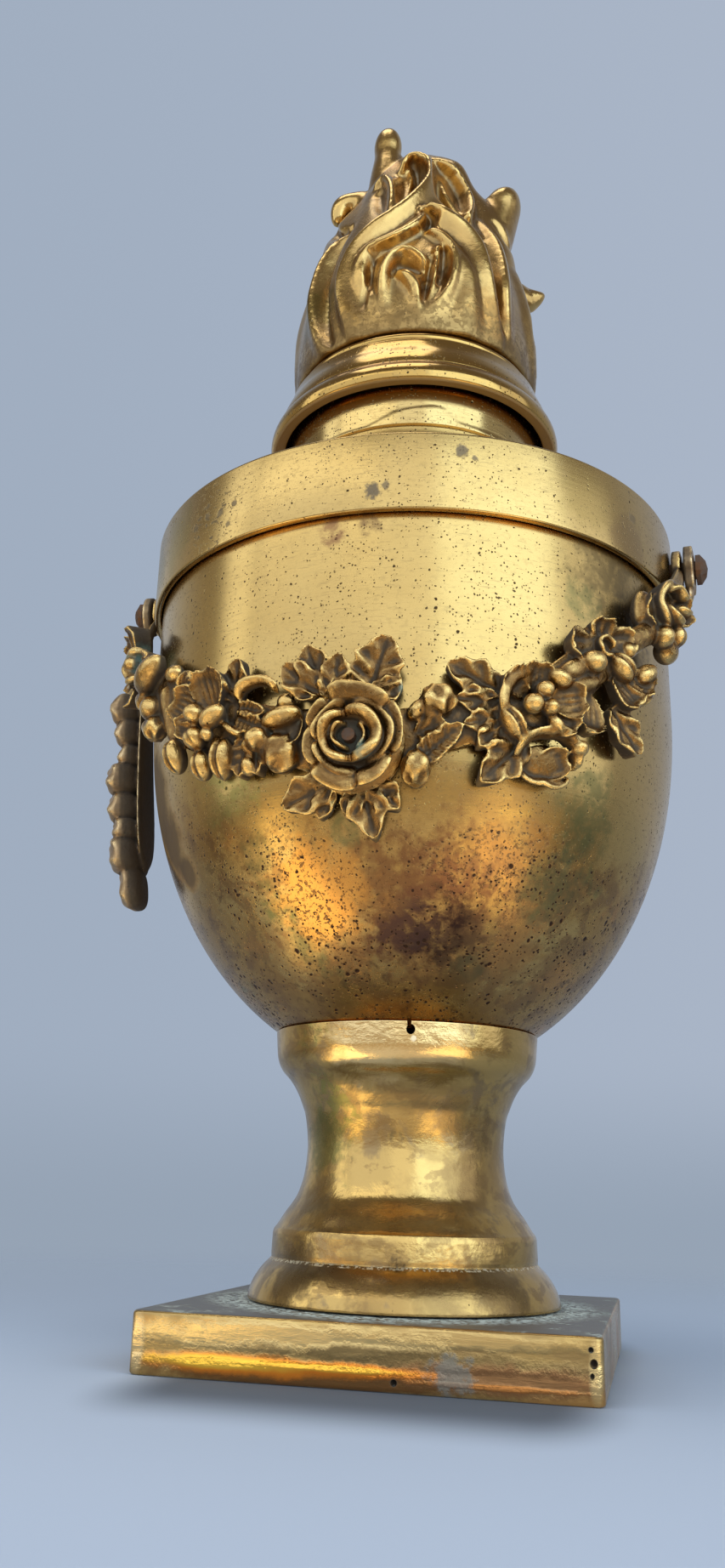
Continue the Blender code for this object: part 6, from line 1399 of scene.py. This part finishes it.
def finger(rows, steps=40, sides=18):
    """A round tongue along rows of degrees, distance, height and half width."""
    path = through(rows, steps)
    angle = np.radians(path[:, 0])
    flat = np.stack((np.sin(angle), -np.cos(angle), 0 * angle), 1)
    spine = flat * path[:, 1:2] + np.array((0, 0, 1.0)) * (FLAME_Z + path[:, 2:3])
    ahead = np.gradient(spine, axis=0)
    ahead /= np.linalg.norm(ahead, axis=1)[:, None]
    out = flat + (0, 0, 0.25)
    out -= ahead * (out * ahead).sum(1)[:, None]
    out /= np.linalg.norm(out, axis=1)[:, None]
    beside = np.cross(ahead, out)
    wide = (path[:, 3] * tapered(steps, 7))[:, None, None]
    phi = np.linspace(0.0, 2 * math.pi, sides, endpoint=False)[None, :, None]
    across, deep = beside[:, None] * np.cos(phi) * wide, out[:, None] * np.sin(phi) * wide * 0.9
    return skin(spine[:, None] + across + deep, ring=False)


cast_flame = melted("cast_flame", [licked()] + [finger(rows) for rows in FINGERS], 0.45, 10)
note_hollows(cast_flame, 1.3, 40)
flame_brass = Metal("flame_brass", (0.49, 0.295, 0.10), 0.23)
flame_brass.lay("blotches", (0.34, 0.195, 0.065), 0.27, strength=0.8, Scale=70.0, Low=0.45, High=0.62)
# Brown in the hollows: patina, and painted shade
flame_brass.lay("hollows", (0.20, 0.12, 0.05), 0.34, strength=0.9, Low=0.52, High=0.80)
flame_brass.lay("hollows", (0.15, 0.145, 0.115), 0.55, 0.45, strength=0.75, Low=0.66, High=1.0)
flame_brass.lay("hollows", (0.66, 0.42, 0.14), 0.13, strength=0.5, Low=0.46, High=0.25)
tree = flame_brass.tree
high = part(tree, own_place(tree), 2)
low_part = eased_step(tree, high, (FLAME_Z + 15) * MM, (FLAME_Z + 3) * MM)
flame_brass.daub(((-26.0, 31.0, 220.0, 8.0, 0.8, (0.33, 0.175, 0.045)),
                  (-44.0, 29.0, 229.0, 9.0, 0.8, (0.22, 0.145, 0.035)),
                  (48.0, 30.0, 221.0, 9.0, 0.8, (0.36, 0.165, 0.04))), 0.25, 1.4, 240.0)
at_foot = eased_step(tree, high, (FLAME_Z + 7.5) * MM, (FLAME_Z + 0.5) * MM)
flame_brass.lay(reckon(tree, "MULTIPLY", at_foot, 0.75), (0.23, 0.135, 0.05), 0.34)
for scale, low, strength in ((300.0, 0.46, 0.7), (800.0, 0.50, 0.8)):
    flame_brass.lay("blotches", (0.20, 0.115, 0.04), 0.38, height=-0.03, strength=strength, within=low_part,
                    Scale=scale, Low=low, High=low + 0.08)
flame_brass.lay("pits", (0.06, 0.035, 0.02), 0.5, height=-0.04, Scale=900.0, Rarity=0.8, Patch=60.0)
flame_brass.lay("blotches", height=0.04, Scale=300.0, Low=0.3, High=0.7)
flame_brass.cover(cast_flame)
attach(cast_flame, "lid")
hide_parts("flame")
